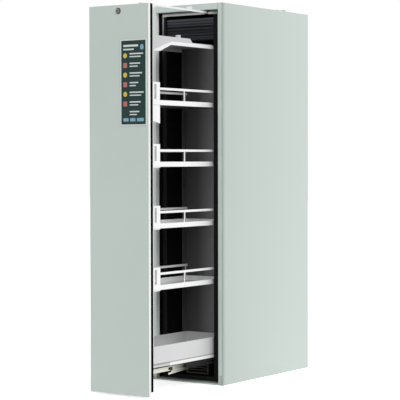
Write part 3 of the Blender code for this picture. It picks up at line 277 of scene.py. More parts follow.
def build_zone(name):
    """Another colour inside one box of the piece; most uses are painted light or shade."""
    group, wires, given, leave = new_group(
        name, "ShaderNodeTree",
        [("Colour", "COLOR", rgba((0.1, 0.1, 0.1))), ("Zone colour", "COLOR", rgba((0.3, 0.3, 0.3))),
         ("Low corner", "VECTOR", (0.0, 0.0, 0.0)), ("High corner", "VECTOR", (1.0, 1.0, 1.0))],
        [("Colour", "COLOR")])
    place = wires.node("ShaderNodeTexCoord").outputs["Object"]
    share = 1.0
    for corner, first, second in (("Low corner", place, given["Low corner"]),
                                  ("High corner", given["High corner"], place)):
        inside = wires.node("ShaderNodeVectorMath", {0: first, 1: second}, operation="SUBTRACT").outputs[0]
        parts = wires.node("ShaderNodeSeparateXYZ", {0: inside}).outputs
        for axis in "XYZ":
            share = wires.math("MULTIPLY", share, wires.math("GREATER_THAN", parts[axis], 0.0))
    wires.tree.links.new(wires.mix(share, given["Colour"], given["Zone colour"]), leave.inputs["Colour"])
    return group


def build_drawn(name):
    """Rolled or turned metal: fine lines along one direction."""
    group, wires, given, leave = new_group(
        name, "ShaderNodeTree",
        [("Colour", "COLOR", rgba((0.6, 0.6, 0.6))), ("Stain", "COLOR", rgba((0.4, 0.4, 0.4))),
         ("Stretch", "VECTOR", (1.0, 0.02, 1.0)), ("Line size", "VALUE", 0.001), ("Roughness", "VALUE", 0.3)],
        [("Colour", "COLOR"), ("Roughness", "VALUE"), ("Height", "VALUE")])
    place = wires.node("ShaderNodeTexCoord").outputs["Object"]
    drawn = wires.node("ShaderNodeVectorMath", {0: place, 1: given["Stretch"]}, operation="MULTIPLY").outputs[0]
    lines = wires.noise(drawn, wires.math("DIVIDE", 1.0, given["Line size"]), 2.0)
    spangle = wires.node("ShaderNodeTexVoronoi", {"Vector": place, "Scale": 90.0}).outputs["Color"]
    grey = wires.node("ShaderNodeRGBToBW", {0: spangle}).outputs[0]
    share = wires.math("ADD", wires.ramp(lines, 0.35, 0.65, 0.0, 0.5), wires.math("MULTIPLY", grey, 0.25))
    wires.tree.links.new(wires.mix(share, given["Colour"], given["Stain"]), leave.inputs["Colour"])
    sway = wires.ramp(lines, 0.3, 0.7, -0.08, 0.08)
    wires.tree.links.new(wires.math("ADD", given["Roughness"], sway, clamp=True), leave.inputs["Roughness"])
    wires.tree.links.new(lines, leave.inputs["Height"])
    return group


def new_material(name):
    """A material with a plain Principled shader, and its wiring."""
    made = bpy.data.materials.new(name)
    made.use_nodes = True
    return made, Wiring(made.node_tree), made.node_tree.nodes["Principled BSDF"]


def group_node(wires, name, build, values):
    """A shared shader group, placed in one material with its own values."""
    return wires.node("ShaderNodeGroup", values, node_tree=group_called(name, build)).outputs


def add_bump(wires, shader, height, strength, depth):
    bump = wires.node("ShaderNodeBump", {"Strength": strength, "Distance": depth, "Height": height})
    wires.tree.links.new(bump.outputs[0], shader.inputs["Normal"])


def coated(name, colour, shade, roughness, patch=0.3, grain=0.002, uneven=0.1, bump=0.15, depth=0.0002,
           coat=0.0, specular=0.5, fold_shade=None, floor_shade=None, fold=None, rise=None, zones=()):
    """Paint, rubber, board or moulded plastic."""
    made, wires, shader = new_material(name)
    out = group_node(wires, "coat", build_coat, {
        "Colour": rgba(colour), "Shade": rgba(shade), "Patch size": patch, "Grain size": grain,
        "Roughness": roughness, "Uneven gloss": uneven})
    colour_out = out["Colour"]
    if fold_shade:
        colour_out = group_node(wires, "fold_shade", build_fold_shade, dict(fold_shade, Colour=colour_out))["Colour"]
    if fold:
        colour_out = group_node(wires, "side highlight", build_edge_highlight, dict(fold, Colour=colour_out))["Colour"]
    if rise:
        colour_out = group_node(wires, "rise", build_rise, dict(rise, Colour=colour_out))["Colour"]
    for zone in zones:
        colour_out = group_node(wires, "zone", build_zone, dict(zone, Colour=colour_out))["Colour"]
    if floor_shade:
        colour_out = group_node(wires, "floor_shade", build_floor_shade, dict(floor_shade, Colour=colour_out))["Colour"]
    wires.tree.links.new(colour_out, shader.inputs["Base Color"])
    wires.tree.links.new(out["Roughness"], shader.inputs["Roughness"])
    shader.inputs["Specular IOR Level"].default_value = specular
    shader.inputs["Coat Weight"].default_value = coat
    shader.inputs["Coat Roughness"].default_value = 0.25
    add_bump(wires, shader, out["Height"], bump, depth)
    return made


def drawn_metal(name, colour, stain, roughness, stretch=(1.0, 0.02, 1.0), line=0.001, metallic=0.9, bump=0.1):
    """Zinc-coated, rolled or turned metal."""
    made, wires, shader = new_material(name)
    out = group_node(wires, "drawn", build_drawn, {
        "Colour": rgba(colour), "Stain": rgba(stain), "Stretch": stretch, "Line size": line,
        "Roughness": roughness})
    wires.tree.links.new(out["Colour"], shader.inputs["Base Color"])
    wires.tree.links.new(out["Roughness"], shader.inputs["Roughness"])
    shader.inputs["Metallic"].default_value = metallic
    add_bump(wires, shader, out["Height"], bump, 0.0001)
    return made


def material_called(name):
    found = bpy.data.materials.get(name)
    if found is None:
        raise RuntimeError("no material named " + name)
    return found


def dress(names, material):
    """Give CAD nodes one material."""
    for name in names:
        slots = NODES[name].data.materials
        slots.clear()
        slots.append(material)


def dress_slot(slot, material, leave_out=()):
    dress([name for name, own in SLOT_OF.items() if own == slot and name not in leave_out], material)


# ---------------------------------------------------------------- mesh helpers

def put(name, bm, material, body, smooth=False):
    """A finished mesh piece at the origin, riding on its body."""
    bmesh.ops.remove_doubles(bm, verts=bm.verts, dist=0.000001)
    bmesh.ops.recalc_face_normals(bm, faces=bm.faces)
    mesh = bpy.data.meshes.new(name)
    bm.to_mesh(mesh)
    bm.free()
    return put_mesh(name, mesh, material, body, smooth)


def put_mesh(name, mesh, material, body, smooth=False):
    piece = bpy.data.objects.new(name, mesh)
    bpy.context.scene.collection.objects.link(piece)
    mesh.materials.clear()
    mesh.materials.append(material)
    for face in mesh.polygons:
        face.use_smooth = smooth
    if smooth:
        mesh.set_sharp_from_angle(angle=math.radians(35))
    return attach(piece, body)


def loft(bm, rings, close_ends=True):
    """Skin a stack of closed rings of equal count, with flat ends."""
    made = [[bm.verts.new(point) for point in ring] for ring in rings]
    for low, high in zip(made, made[1:]):
        for index in range(len(low)):
            after = (index + 1) % len(low)
            bm.faces.new((low[index], low[after], high[after], high[index]))
    if close_ends:
        bm.faces.new(made[0][::-1])
        bm.faces.new(made[-1])
    return made


def long_round(x0, z0, x1, z1, radius, steps=5):
    """The outline of a rectangle with round corners, in X and Z."""
    points = []
    for cx, cz, start in ((x1 - radius, z1 - radius, 0), (x0 + radius, z1 - radius, 90),
                          (x0 + radius, z0 + radius, 180), (x1 - radius, z0 + radius, 270)):
        for step in range(steps + 1):
            angle = math.radians(start + 90 * step / steps)
            points.append((cx + radius * math.cos(angle), cz + radius * math.sin(angle)))
    return points


def tablet(bm, x0, z0, x1, z1, radius, back_y, front_y, ease=0.0):
    """A thin plate with round corners and an eased front edge, facing -Y."""
    shape = long_round(x0, z0, x1, z1, radius)
    inner = long_round(x0 + ease, z0 + ease, x1 - ease, z1 - ease, max(radius - ease, ease + MM / 10))
    rings = [[(x, back_y, z) for x, z in shape]]
    if ease:
        rings.append([(x, front_y + ease, z) for x, z in shape])
    rings.append([(x, front_y, z) for x, z in (inner if ease else shape)])
    loft(bm, rings)


def turned(bm, profile, place, segments=32):
    """A closed turned ring or knob: a loop of radius and height, round the axis of a matrix."""
    rows = []
    for step in range(segments):
        angle = 2 * math.pi * step / segments
        rows.append([bm.verts.new(place @ Vector((radius * math.cos(angle), radius * math.sin(angle), height)))
                     for radius, height in profile])
    count = len(profile)
    for step in range(segments):
        near, far = rows[step], rows[(step + 1) % segments]
        for index in range(count):
            after = (index + 1) % count
            bm.faces.new((near[index], far[index], far[after], near[after]))


def facing_matrix(place, direction):
    turn = Vector(direction).to_track_quat("Z", "Y").to_matrix().to_4x4()
    return Matrix.Translation(place) @ turn


def points_mesh(name, places, facing=None):
    """Loose points that carry the direction each fastener faces."""
    mesh = bpy.data.meshes.new(name)
    mesh.from_pydata([tuple(place) for place in places], [], [])
    if facing:
        attribute = mesh.attributes.new("facing", "FLOAT_VECTOR", "POINT")
        for item, direction in zip(attribute.data, facing):
            item.vector = direction
    return mesh


def loop_mesh(name, points):
    """Closed rings of edges, one for each list of points."""
    mesh = bpy.data.meshes.new(name)
    verts, edges = [], []
    for ring in points:
        start = len(verts)
        verts += [tuple(point) for point in ring]
        edges += [(start + index, start + (index + 1) % len(ring)) for index in range(len(ring))]
    mesh.from_pydata(verts, edges, [])
    return mesh


# ---------------------------------------------------------------- geometry nodes

def build_heads(name):
    """Screw or rivet heads with a sunk drive, one on each point."""
    group, wires, given, leave = new_group(
        name, "GeometryNodeTree",
        [("Geometry", "GEOMETRY", None), ("Radius", "VALUE", 0.004), ("Height", "VALUE", 0.002),
         ("Crown", "VALUE", 0.7), ("Drive share", "VALUE", 0.5), ("Drive depth", "VALUE", 0.001),
         ("Sides", "INT", 20), ("Material", "MATERIAL", None)],
        [("Geometry", "GEOMETRY")])
    drum = wires.node("GeometryNodeMeshCylinder", {"Vertices": given["Sides"], "Radius": given["Radius"],
                                                   "Depth": given["Height"]})
    crown = wires.node("GeometryNodeScaleElements", {"Geometry": drum.outputs["Mesh"],
                                                     "Selection": drum.outputs["Top"], "Scale": given["Crown"]})
    step = wires.node("GeometryNodeExtrudeMesh", {"Mesh": crown.outputs[0], "Selection": drum.outputs["Top"],
                                                  "Offset Scale": 0.0})
    drive = wires.node("GeometryNodeScaleElements", {"Geometry": step.outputs["Mesh"],
                                                     "Selection": step.outputs["Top"],
                                                     "Scale": given["Drive share"]})
    sink = wires.node("GeometryNodeExtrudeMesh", {"Mesh": drive.outputs[0], "Selection": step.outputs["Top"],
                                                  "Offset Scale": wires.math("MULTIPLY", given["Drive depth"],
                                                                             -1.0)})
    lift = wires.node("ShaderNodeCombineXYZ", {"Z": wires.math("MULTIPLY", given["Height"], 0.45)})
    seat = wires.node("GeometryNodeTransform", {"Geometry": sink.outputs["Mesh"],
                                                "Translation": lift.outputs[0]})
    facing = wires.node("GeometryNodeInputNamedAttribute", {"Name": "facing"}, data_type="FLOAT_VECTOR")
    turn = wires.node("FunctionNodeAlignRotationToVector", {"Vector": facing.outputs[0]}, axis="Z")
    spread = wires.node("GeometryNodeInstanceOnPoints", {"Points": given["Geometry"],
                                                         "Instance": seat.outputs[0],
                                                         "Rotation": turn.outputs[0]})
    close_tree(wires, spread.outputs[0], given["Material"], leave)
    return group


def build_bead(name):
    """A round bead swept along closed paths."""
    group, wires, given, leave = new_group(
        name, "GeometryNodeTree",
        [("Geometry", "GEOMETRY", None), ("Bead radius", "VALUE", 0.001), ("Sides", "INT", 10),
         ("Material", "MATERIAL", None)],
        [("Geometry", "GEOMETRY")])
    path = wires.node("GeometryNodeMeshToCurve", {"Mesh": given["Geometry"]})
    round_shape = wires.node("GeometryNodeCurvePrimitiveCircle", {"Resolution": given["Sides"],
                                                                  "Radius": given["Bead radius"]})
    sweep = wires.node("GeometryNodeCurveToMesh", {"Curve": path.outputs[0],
                                                   "Profile Curve": round_shape.outputs[0]})
    close_tree(wires, sweep.outputs[0], given["Material"], leave)
    return group


def build_tabs(name):
    """Equal eased blocks along a straight run: teeth, ribs or steps."""
    group, wires, given, leave = new_group(
        name, "GeometryNodeTree",
        [("Geometry", "GEOMETRY", None), ("Start", "VECTOR", (0, 0, 0)), ("Step", "VECTOR", (0, 0, 0.01)),
         ("Count", "INT", 5), ("Size", "VECTOR", (0.01, 0.01, 0.01)), ("Ease", "VALUE", 0.8),
         ("Material", "MATERIAL", None)],
        [("Geometry", "GEOMETRY")])
    line = wires.node("GeometryNodeMeshLine", {"Count": given["Count"], "Start Location": given["Start"],
                                               "Offset": given["Step"]}, mode="OFFSET")
    cube = wires.node("GeometryNodeMeshCube", {"Size": given["Size"]})
    normal = wires.node("GeometryNodeInputNormal")
    outward = wires.node("ShaderNodeSeparateXYZ", {0: normal.outputs[0]})
    front = wires.node("FunctionNodeCompare", {0: wires.math("ABSOLUTE", outward.outputs["Y"]), 1: 0.5},
                       data_type="FLOAT", operation="GREATER_THAN")
    eased = wires.node("GeometryNodeScaleElements", {"Geometry": cube.outputs[0],
                                                     "Selection": front.outputs[0], "Scale": given["Ease"]})
    spread = wires.node("GeometryNodeInstanceOnPoints", {"Points": line.outputs[0],
                                                         "Instance": eased.outputs[0]})
    both = wires.node("GeometryNodeJoinGeometry")
    wires.tree.links.new(spread.outputs[0], both.inputs[0])
    wires.tree.links.new(given["Geometry"], both.inputs[0])
    close_tree(wires, both.outputs[0], given["Material"], leave)
    return group


def close_tree(wires, geometry, material, leave):
    """End a tree in real geometry with its material."""
    real = wires.node("GeometryNodeRealizeInstances", {0: geometry})
    dressed = wires.node("GeometryNodeSetMaterial", {"Geometry": real.outputs[0], "Material": material})
    wires.tree.links.new(dressed.outputs[0], leave.inputs["Geometry"])


def grown(name, mesh, tree, values, material, body, smooth=False):
    """Run a geometry tree on a mesh and keep the result as a plain piece on one body."""
    seed = bpy.data.objects.new(name + "_seed", mesh)
    bpy.context.scene.collection.objects.link(seed)
    modifier = seed.modifiers.new("nodes", "NODES")
    modifier.node_group = tree
    ids = {item.name: item.identifier for item in tree.interface.items_tree
           if item.item_type == "SOCKET" and item.in_out == "INPUT"}
    for label, value in dict(values, Material=material).items():
        modifier[ids[label]] = value
    bpy.context.view_layer.update()
    result = bpy.data.meshes.new_from_object(seed.evaluated_get(bpy.context.evaluated_depsgraph_get()))
    seed.modifiers.remove(modifier)
    bpy.data.objects.remove(seed, do_unlink=True)
    if not result.polygons:
        raise RuntimeError(name + " came out empty")
    return put_mesh(name, result, material, body, smooth)


def heads(name, spots, radius, height, material, body, drive=0.5, crown=0.78, sides=20):
    """Fastener heads: spots are pairs of a place and the direction it faces."""
    mesh = points_mesh(name, [spot[0] for spot in spots], [spot[1] for spot in spots])
    return grown(name, mesh, group_called("fastener heads", build_heads),
                 {"Radius": radius, "Height": height, "Crown": crown, "Drive share": drive,
                  "Drive depth": height * 0.6 if drive > 0.3 else 0.0, "Sides": sides},
                 material, body)


def beads(name, rings, radius, material, body, sides=10):
    return grown(name, loop_mesh(name, rings), group_called("bead", build_bead),
                 {"Bead radius": radius, "Sides": sides}, material, body, smooth=True)


def ring_points(centre, radius, count, axis="Z"):
    points = []
    for step in range(count):
        angle = 2 * math.pi * step / count
        u, v = radius * math.cos(angle), radius * math.sin(angle)
        offset = Vector((u, v, 0)) if axis == "Z" else Vector((u, 0, v))
        points.append(Vector(centre) + offset)
    return points


# ---------------------------------------------------------------- pieces

class SAFETY_CABINET_OT_casing_finish(bpy.types.Operator):
    """Paint the casing and the drawer's front"""
    bl_idname = "safety_cabinet.casing_finish"
    bl_label = "Casing finish"

    def execute(self, context):
        look = context.scene.casing_look
        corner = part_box("side_panel_right")
        # Painted shade along the casing's front corners.
        fold_shade = {"Fold shade": rgba((0.20, 0.23, 0.215)), "Fold x": corner[1].x, "Fold y": corner[0].y,
                  "Width": 0.024, "Amount": 0.66}
        # Painted shade near the floor, on the casing and on the drawer's front.
        floor_shade = {"Floor shade": rgba((0.43, 0.44, 0.41)), "Reach": look.floor_shade_reach, "Amount": 0.12}
        # Painted light: the jambs' front faces a tenth lighter than the paint.
        face = {"Zone colour": rgba(tuple(part * 1.10 for part in look.paint)),
                "Low corner": (-corner[1].x + 0.0015, corner[0].y - 0.001, 0.05),
                "High corner": (corner[1].x - 0.0045, corner[0].y + 0.001, 9)}
        # Painted light on the left jamb's front face, which the drawer's front shades.
        left = {"Zone colour": rgba(tuple(part * 1.28 for part in look.paint)),
                "Low corner": (-corner[1].x + 0.0015, corner[0].y - 0.001, 0.02),
                "High corner": (-0.1965, corner[0].y + 0.001, 9)}
        # Painted highlight on the left jamb's inner return face.
        inner = {"Zone colour": rgba((0.88, 0.90, 0.89)), "Low corner": (-0.1965, corner[0].y + 0.002, 0.03),
                 "High corner": (-0.1945, -0.396, 9)}
        # Painted light: the side panel lighter towards the back.
        rise = {"High colour": rgba(tuple(part * 1.07 for part in look.paint)), "Along": (0, 1, 0),
                "Low": corner[0].y, "High": corner[1].y, "Bend": 0.8}
        # Painted shade: the casing's paint is a darker copy of the front's paint.
        side = tuple(part * 0.945 for part in look.paint)
        paint = coated("casing_paint", side, tuple(part * 0.95 for part in side), look.gloss, patch=0.5,
                       grain=look.peel, bump=0.12, coat=0.1, fold_shade=fold_shade, floor_shade=floor_shade, rise=rise, zones=[face, left, inner])
        dress_slot("casing_paint", paint)
        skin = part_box("front_skin")
        # Painted shade along the front skin's side edges.
        fold_shade = dict(fold_shade, **{"Fold x": skin[1].x, "Fold y": skin[0].y, "Width": 0.004, "Amount": 0.3})
        # Painted highlight on the front skin's side edges, in the white coat's colour.
        fold = {"Highlight": rgba(context.scene.drawer_look.white), "Face x": skin[1].x - 0.0003,
                "Front y": skin[0].y + 0.002}
        front = coated("front_paint", look.paint, look.paint_shade, look.gloss, patch=0.4, grain=look.peel,
                       bump=0.12, coat=0.1, fold_shade=fold_shade, floor_shade=floor_shade, fold=fold)
        dress_slot("front_paint", front)
        return {"FINISHED"}


class SAFETY_CABINET_OT_inner_finish(bpy.types.Operator):
    """Finish the boards, linings, rebate, grille and ducts"""
    bl_idname = "safety_cabinet.inner_finish"
    bl_label = "Inner finish"

    def execute(self, context):
        dress_slot("fire_board", coated("fire_board", (0.62, 0.60, 0.55), (0.52, 0.50, 0.45), 0.9, patch=0.05,
                                        grain=0.0015, bump=0.5, depth=0.0005))
        dress_slot("dark_lining", coated("dark_lining", (0.0040, 0.0042, 0.0044), (0.0025, 0.0026, 0.0027), 0.88,
                                         patch=0.2, grain=0.001, bump=0.25, specular=0.05))
        dress_slot("grey_steel", coated("grey_steel", (0.13, 0.135, 0.135), (0.095, 0.10, 0.10), 0.6, patch=0.2))
        dress_slot("dark_steel", coated("dark_steel", (0.030, 0.028, 0.026), (0.018, 0.017, 0.016), 0.7,
                                        patch=0.1, specular=0.15))
        low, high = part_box("rebate_frame")
        dark = rgba((0.007, 0.007, 0.008))
        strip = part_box("rebate_seal")[1].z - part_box("ceiling_lining")[0].z
        sill = {"Zone colour": rgba((0.13, 0.14, 0.135)), "Low corner": (-9, -9, 0), "High corner": (9, 9, 0.0165)}
        # Painted shade: right of x -0.165 the frame stays black below the top strip.
        zones = [{"Zone colour": dark, "Low corner": (-0.165, -9, 0), "High corner": (9, 9, high.z - strip - 0.002)},
                 sill,
                 {"Zone colour": rgba((0.60, 0.62, 0.60)), "Low corner": (-9, -9, high.z - strip - 0.002),
                  "High corner": (0.150, 9, 9)}]
        dress(["rebate_frame"], coated("rebate_steel", (0.007, 0.007, 0.008), (0.005, 0.005, 0.006), 0.8,
                                       patch=0.2, specular=0.1, zones=zones,
                                       # Painted light: the frame lighter towards its top.
                                       rise={"High colour": rgba((0.42, 0.43, 0.42)), "Low": 1.66,
                                             "High": high.z, "Bend": 2.0}))
        dress_slot("black_plastic", coated("black_plastic", (0.012, 0.012, 0.013), (0.008, 0.008, 0.009), 0.85,
                                           patch=0.1, grain=0.0008, bump=0.25, specular=0.1))
        dress(["duct_grille"], coated("duct_grille", (0.10, 0.098, 0.09), (0.07, 0.068, 0.062), 0.7, patch=0.1,
                                      specular=0.15))
        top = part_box("exhaust_grille")[1].z
        # Painted shade on two bands of ribs.
        bands = [{"Zone colour": rgba((0.006, 0.006, 0.008)), "Low corner": (-9, -9, top - low_drop),
                  "High corner": (9, 9, top - high_drop)} for low_drop, high_drop in self.shaded_ribs(top)]
        dress(["exhaust_grille"], coated("grille_plastic", (0.024, 0.026, 0.033), (0.014, 0.015, 0.020), 0.7,
                                         patch=0.1, grain=0.0008, bump=0.2, specular=0.2,
                                         # Painted light: the grille lighter towards its top.
                                         rise={"High colour": rgba((0.070, 0.074, 0.085)), "Low": top - 0.060,
                                               "High": top - 0.004, "Bend": 1.5}, zones=bands))
        return {"FINISHED"}

    def shaded_ribs(self, top):
        """Depths below the grille's top between which its ribs lie in shade."""
        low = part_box("exhaust_grille")[0].z
        height = top - low
        return [(height * 0.47, height * 0.38), (height * 0.66, height * 0.60)]


class SAFETY_CABINET_OT_drawer_finish(bpy.types.Operator):
    """Finish the drawer's steel, its core and its rear upright"""
    bl_idname = "safety_cabinet.drawer_finish"
    bl_label = "Drawer finish"

    def execute(self, context):
        look = context.scene.drawer_look
        white = coated("white_steel", look.white, look.white_shade, 0.38, patch=0.35, grain=0.0018, bump=0.10,
                       coat=0.1)
        dress_slot("white_steel", white, leave_out=("top_plate",))
        self.shelves()
        low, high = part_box("top_plate")
        side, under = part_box("front_upright")[1].x, high.z - 0.0355
        # Painted shade: a dark line on the plate's underside.
        shade = {"Zone colour": rgba((0.19, 0.18, 0.165)), "Low corner": (-side, -9, under - 0.0002),
                 "High corner": (side, 9, under + 0.0002)}
        # Painted shade: the right web's outer face grey above the underside.
        shaded_web = {"Zone colour": rgba((0.57, 0.57, 0.58)), "Low corner": (side - 0.0008, -9, under - 0.001),
               "High corner": (9, 9, 9)}
        # Painted shade: the plate grey above a sloped line.
        edge = low.z - 0.32 * (low.y + 0.0365)
        sloped_web_shade = {"High colour": shaded_web["Zone colour"], "Along": (0, -0.32, 1), "Low": edge + 0.006,
                  "High": edge + 0.013, "Bend": 1.0}
        # Painted shade: the left web's outer face grey.
        far = {"Zone colour": rgba((0.34, 0.33, 0.32)), "Low corner": (-side - 0.0006, -9, 0),
               "High corner": (-side + 0.0006, 9, 9)}
        dress(["top_plate"], coated("plate_steel", look.white, look.white_shade, 0.38, patch=0.35, grain=0.0018,
                                    bump=0.10, coat=0.1, rise=sloped_web_shade, zones=[shade, far, shaded_web]))
        dress_slot("white_board", coated("white_core", look.white, look.white_shade, 0.5, patch=0.2,
                                         grain=0.001))
        low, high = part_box("front_upright")
        # Painted shade: black strips on the upright's side faces near its front.
        shade_strips = [{"Zone colour": rgba((0.008, 0.008, 0.008)), "Low corner": (x - 0.0004, -9, 0),
                   "High corner": (x + 0.0004, low.y + 0.012, 9)} for x in (low.x, high.x)]
        dress(["front_upright"], coated("upright_steel", look.white, look.white_shade, 0.38, patch=0.35,
                                        grain=0.0018, bump=0.10, coat=0.1, zones=shade_strips))
        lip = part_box("drawer_carriage")[1].z
        # Painted shadow: a grey line along the tray's side just above the carriage lip.
        shadow_line = {"Zone colour": rgba((0.33, 0.33, 0.335)), "Low corner": (-9, -9, lip - 0.004),
                "High corner": (9, 9, lip + 0.005)}
        # Painted shade: the tray is a darker copy of the white coat.
        dress(["spill_tray"], coated("tray_steel", (0.69, 0.69, 0.69), (0.65, 0.65, 0.655), 0.45, patch=0.3,
                                     grain=0.0018, bump=0.10, zones=[shadow_line]))
        # Painted light: the carriage is a lighter copy of the white coat.
        dress(["drawer_carriage"], coated("carriage_steel", (0.90, 0.90, 0.90), (0.86, 0.86, 0.865), 0.38,
                                          patch=0.3, grain=0.0018, bump=0.10))
        # Dark grey, partly painted shade, with painted light making it lighter towards +X.
        dress(["rear_upright"], coated("rear_steel", (0.080, 0.081, 0.080), (0.062, 0.062, 0.062), 0.6,
                                       patch=0.25, grain=0.002, specular=0.3,
                                       rise={"High colour": rgba((0.29, 0.29, 0.29)), "Along": (1, 0, 0),
                                             "Low": -0.07, "High": 0.06, "Bend": 1.2}))
        dress_slot("pale_plastic", coated("pale_plastic", (0.92, 0.92, 0.92), (0.88, 0.88, 0.88), 0.35,
                                          patch=0.05, grain=0.0006))
        zinc = drawn_metal("zinc_steel", look.zinc, tuple(part * 0.72 for part in look.zinc), 0.33)
        dress_slot("zinc_steel", zinc)
        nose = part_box("slide_drawer_right")[0].y
        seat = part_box("slide_fixed_right")[1].z - 0.0027
        # Painted shade: the rails go dark towards the back, and black above the seat under the tray.
        rail = coated("rail_zinc", (0.88, 0.87, 0.80), (0.78, 0.77, 0.70), 0.5, patch=0.04, grain=0.001,
                      specular=0.4, rise={"High colour": rgba((0.040, 0.038, 0.030)), "Along": (0, 1, 0),
                                          "Low": nose + 0.18, "High": nose + 0.30, "Bend": 0.8},
                      zones=[{"Zone colour": rgba((0.004, 0.004, 0.004)), "Low corner": (-9, -9, seat),
                              "High corner": (9, 9, 9)}])
        dress(["slide_drawer_left", "slide_drawer_right"], rail)
        # Painted shade: a near-black copy of the zinc on the fixed, middle and carrier rails.
        dark = drawn_metal("shaded_zinc", (0.020, 0.020, 0.019), (0.012, 0.012, 0.012), 0.7, metallic=0.2)
        dress(["slide_fixed_left", "slide_fixed_right", "slide_middle_left", "slide_middle_right",
                "slide_carrier_left", "slide_carrier_right"], dark)
        return {"FINISHED"}

    def shelves(self):
        """Shelves and guards in a lighter copy of the white coat, painted light, with painted shade below each
        shelf.
        """
        decks = ["shelf_%d" % number for number in range(1, 5)]
        zones = []
        for deck in decks:
            low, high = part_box(deck)
            # Painted shade: a dark line on each shelf's underside.
            zones.append({"Zone colour": rgba((0.014, 0.014, 0.014)), "Low corner": (-9, -9, low.z - 0.0004),
                          "High corner": (9, 9, low.z + 0.0004)})
        bright = coated("shelf_steel", (0.93, 0.93, 0.935), (0.89, 0.89, 0.895), 0.38, patch=0.35, grain=0.0018,
                        bump=0.10, coat=0.1, zones=zones)
        dress(decks + ["shelf_guard_%d" % number for number in range(1, 5)], bright)


class SAFETY_CABINET_OT_seals(bpy.types.Operator):
    """Rubber seals of the drawer front and the rebate, with their small lips"""
    bl_idname = "safety_cabinet.seals"
    bl_label = "Seals"

    def execute(self, context):
        rubber = coated("black_rubber", (0.0012, 0.0013, 0.0013), (0.0008, 0.0008, 0.0008), 0.9, patch=0.1,
                        grain=0.0007, bump=0.3, specular=0.05)
        dress_slot("black_rubber", rubber)
        low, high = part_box("front_seal")
        rings = []
        for share in (0.30, 0.70):
            y = low.y + (high.y - low.y) * share
            rings.append([(x, y, z) for x, z in long_round(low.x, low.z, high.x, high.z, 0.003)])
        beads("front_seal_lips", rings, 0.0011, rubber, "drawer")
        low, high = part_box("rebate_seal")
        # Paler grey along the seal's lowest 15 mm.
        foot_grey_rubber = coated("rubber_grey_at_foot", (0.0012, 0.0013, 0.0013), (0.0008, 0.0008, 0.0008), 0.9, patch=0.1,
                       grain=0.0007, bump=0.3, specular=0.05,
                       zones=[{"Zone colour": rgba((0.17, 0.18, 0.175)), "Low corner": (-9, -9, 0),
                               "High corner": (9, 9, 0.0150)}])
        dress(["rebate_seal"], foot_grey_rubber)
        inner = 0.019
        y = (low.y + high.y) / 2
        ring = [(x, y, z) for x, z in long_round(low.x + inner, low.z + 0.007, high.x - inner,
                                                 high.z - 0.007, 0.003)]
        beads("rebate_seal_lip", [ring], 0.0010, foot_grey_rubber, "cabinet")
        return {"FINISHED"}


class SAFETY_CABINET_OT_roof_ducts(bpy.types.Operator):
    """Rolled beads and flange screws of the two roof ducts"""
    bl_idname = "safety_cabinet.roof_ducts"
    bl_label = "Roof ducts"

    def execute(self, context):
        sizes = context.scene.fastener_sizes
        zinc = material_called("zinc_steel")
        rings, spots = [], []
        for name in ("exhaust_spigot", "supply_spigot"):
            low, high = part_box(name)
            centre = (low + high) / 2
            flange = (high.x - low.x) / 2
            tube = flange - 0.0105
            for drop in (0.0016, 0.009, 0.014):
                rings.append(ring_points((centre.x, centre.y, high.z - drop), tube, 48))
            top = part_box("roof_panel")[1].z + 0.0023
            spots += [(place, (0, 0, 1)) for place in ring_points((centre.x, centre.y, top), flange - 0.005, 8)]
        beads("duct_beads", rings, 0.0012, zinc, "cabinet")
        heads("duct_screws", spots, sizes.rivet_radius, sizes.screw_height, zinc, "cabinet")
        return {"FINISHED"}


class SAFETY_CABINET_OT_fasteners(bpy.types.Operator):
    """Screws on the casing, and rivets on the drawer's frame"""
    bl_idname = "safety_cabinet.fasteners"
    bl_label = "Fasteners"

    def execute(self, context):
        sizes = context.scene.fastener_sizes
        self.casing_screws(sizes)
        self.drawer_rivets(sizes)
        return {"FINISHED"}

    def casing_screws(self, sizes):
        low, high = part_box("side_panel_right")
        paint = material_called("casing_paint")
        spots = []
        for way in SIDES:
            for row in range(sizes.back_rows):
                z = 0.06 + (high.z - 0.12) * row / (sizes.back_rows - 1)
                spots.append(((way * (high.x - 0.011), high.y, z), (0, 1, 0)))
        for way in SIDES:
            for row in range(5):
                y = low.y + 0.06 + (high.y - low.y - 0.12) * row / 4
                spots.append(((way * (high.x - 0.014), y, high.z), (0, 0, 1)))
        heads("casing_screws", spots, sizes.screw_radius, sizes.screw_height, paint, "cabinet")
        board = material_called("black_plastic")
        plugs = [((way * 0.150, y, high.z), (0, 0, 1)) for way in SIDES for y in (low.y + 0.10, high.y - 0.10)]
        heads("roof_plugs", plugs, 0.009, 0.0022, board, "cabinet", drive=0.25, sides=28)

    def drawer_rivets(self, sizes):
        white = material_called("white_steel")
        spots = []
        for number in range(1, 5):
            low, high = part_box("shelf_%d" % number)
            for name, inset in (("front_upright", 0.008), ("rear_upright", -0.014)):
                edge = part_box(name)
                y = (edge[0].y + inset) if inset > 0 else (edge[1].y + inset)
                for way in SIDES:
                    for rise in (0.010, 0.070):
                        spots.append(((way * edge[1].x, y, high.z + rise), (way, 0, 0)))
        heads("drawer_rivets", spots, sizes.rivet_radius, sizes.rivet_height, white, "drawer",
              drive=0.2, crown=0.6, sides=16)
        low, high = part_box("slide_drawer_right")
        zinc = material_called("rail_zinc")
        keel = [((way * 0.11885, low.y + 0.215 + 0.045 * step, 0.1025), (way, 0, 0))
                for way in SIDES for step in range(3)]
        heads("keel_rivets", keel, 0.0035, 0.0010, zinc, "drawer", drive=0.2, crown=0.6, sides=16)


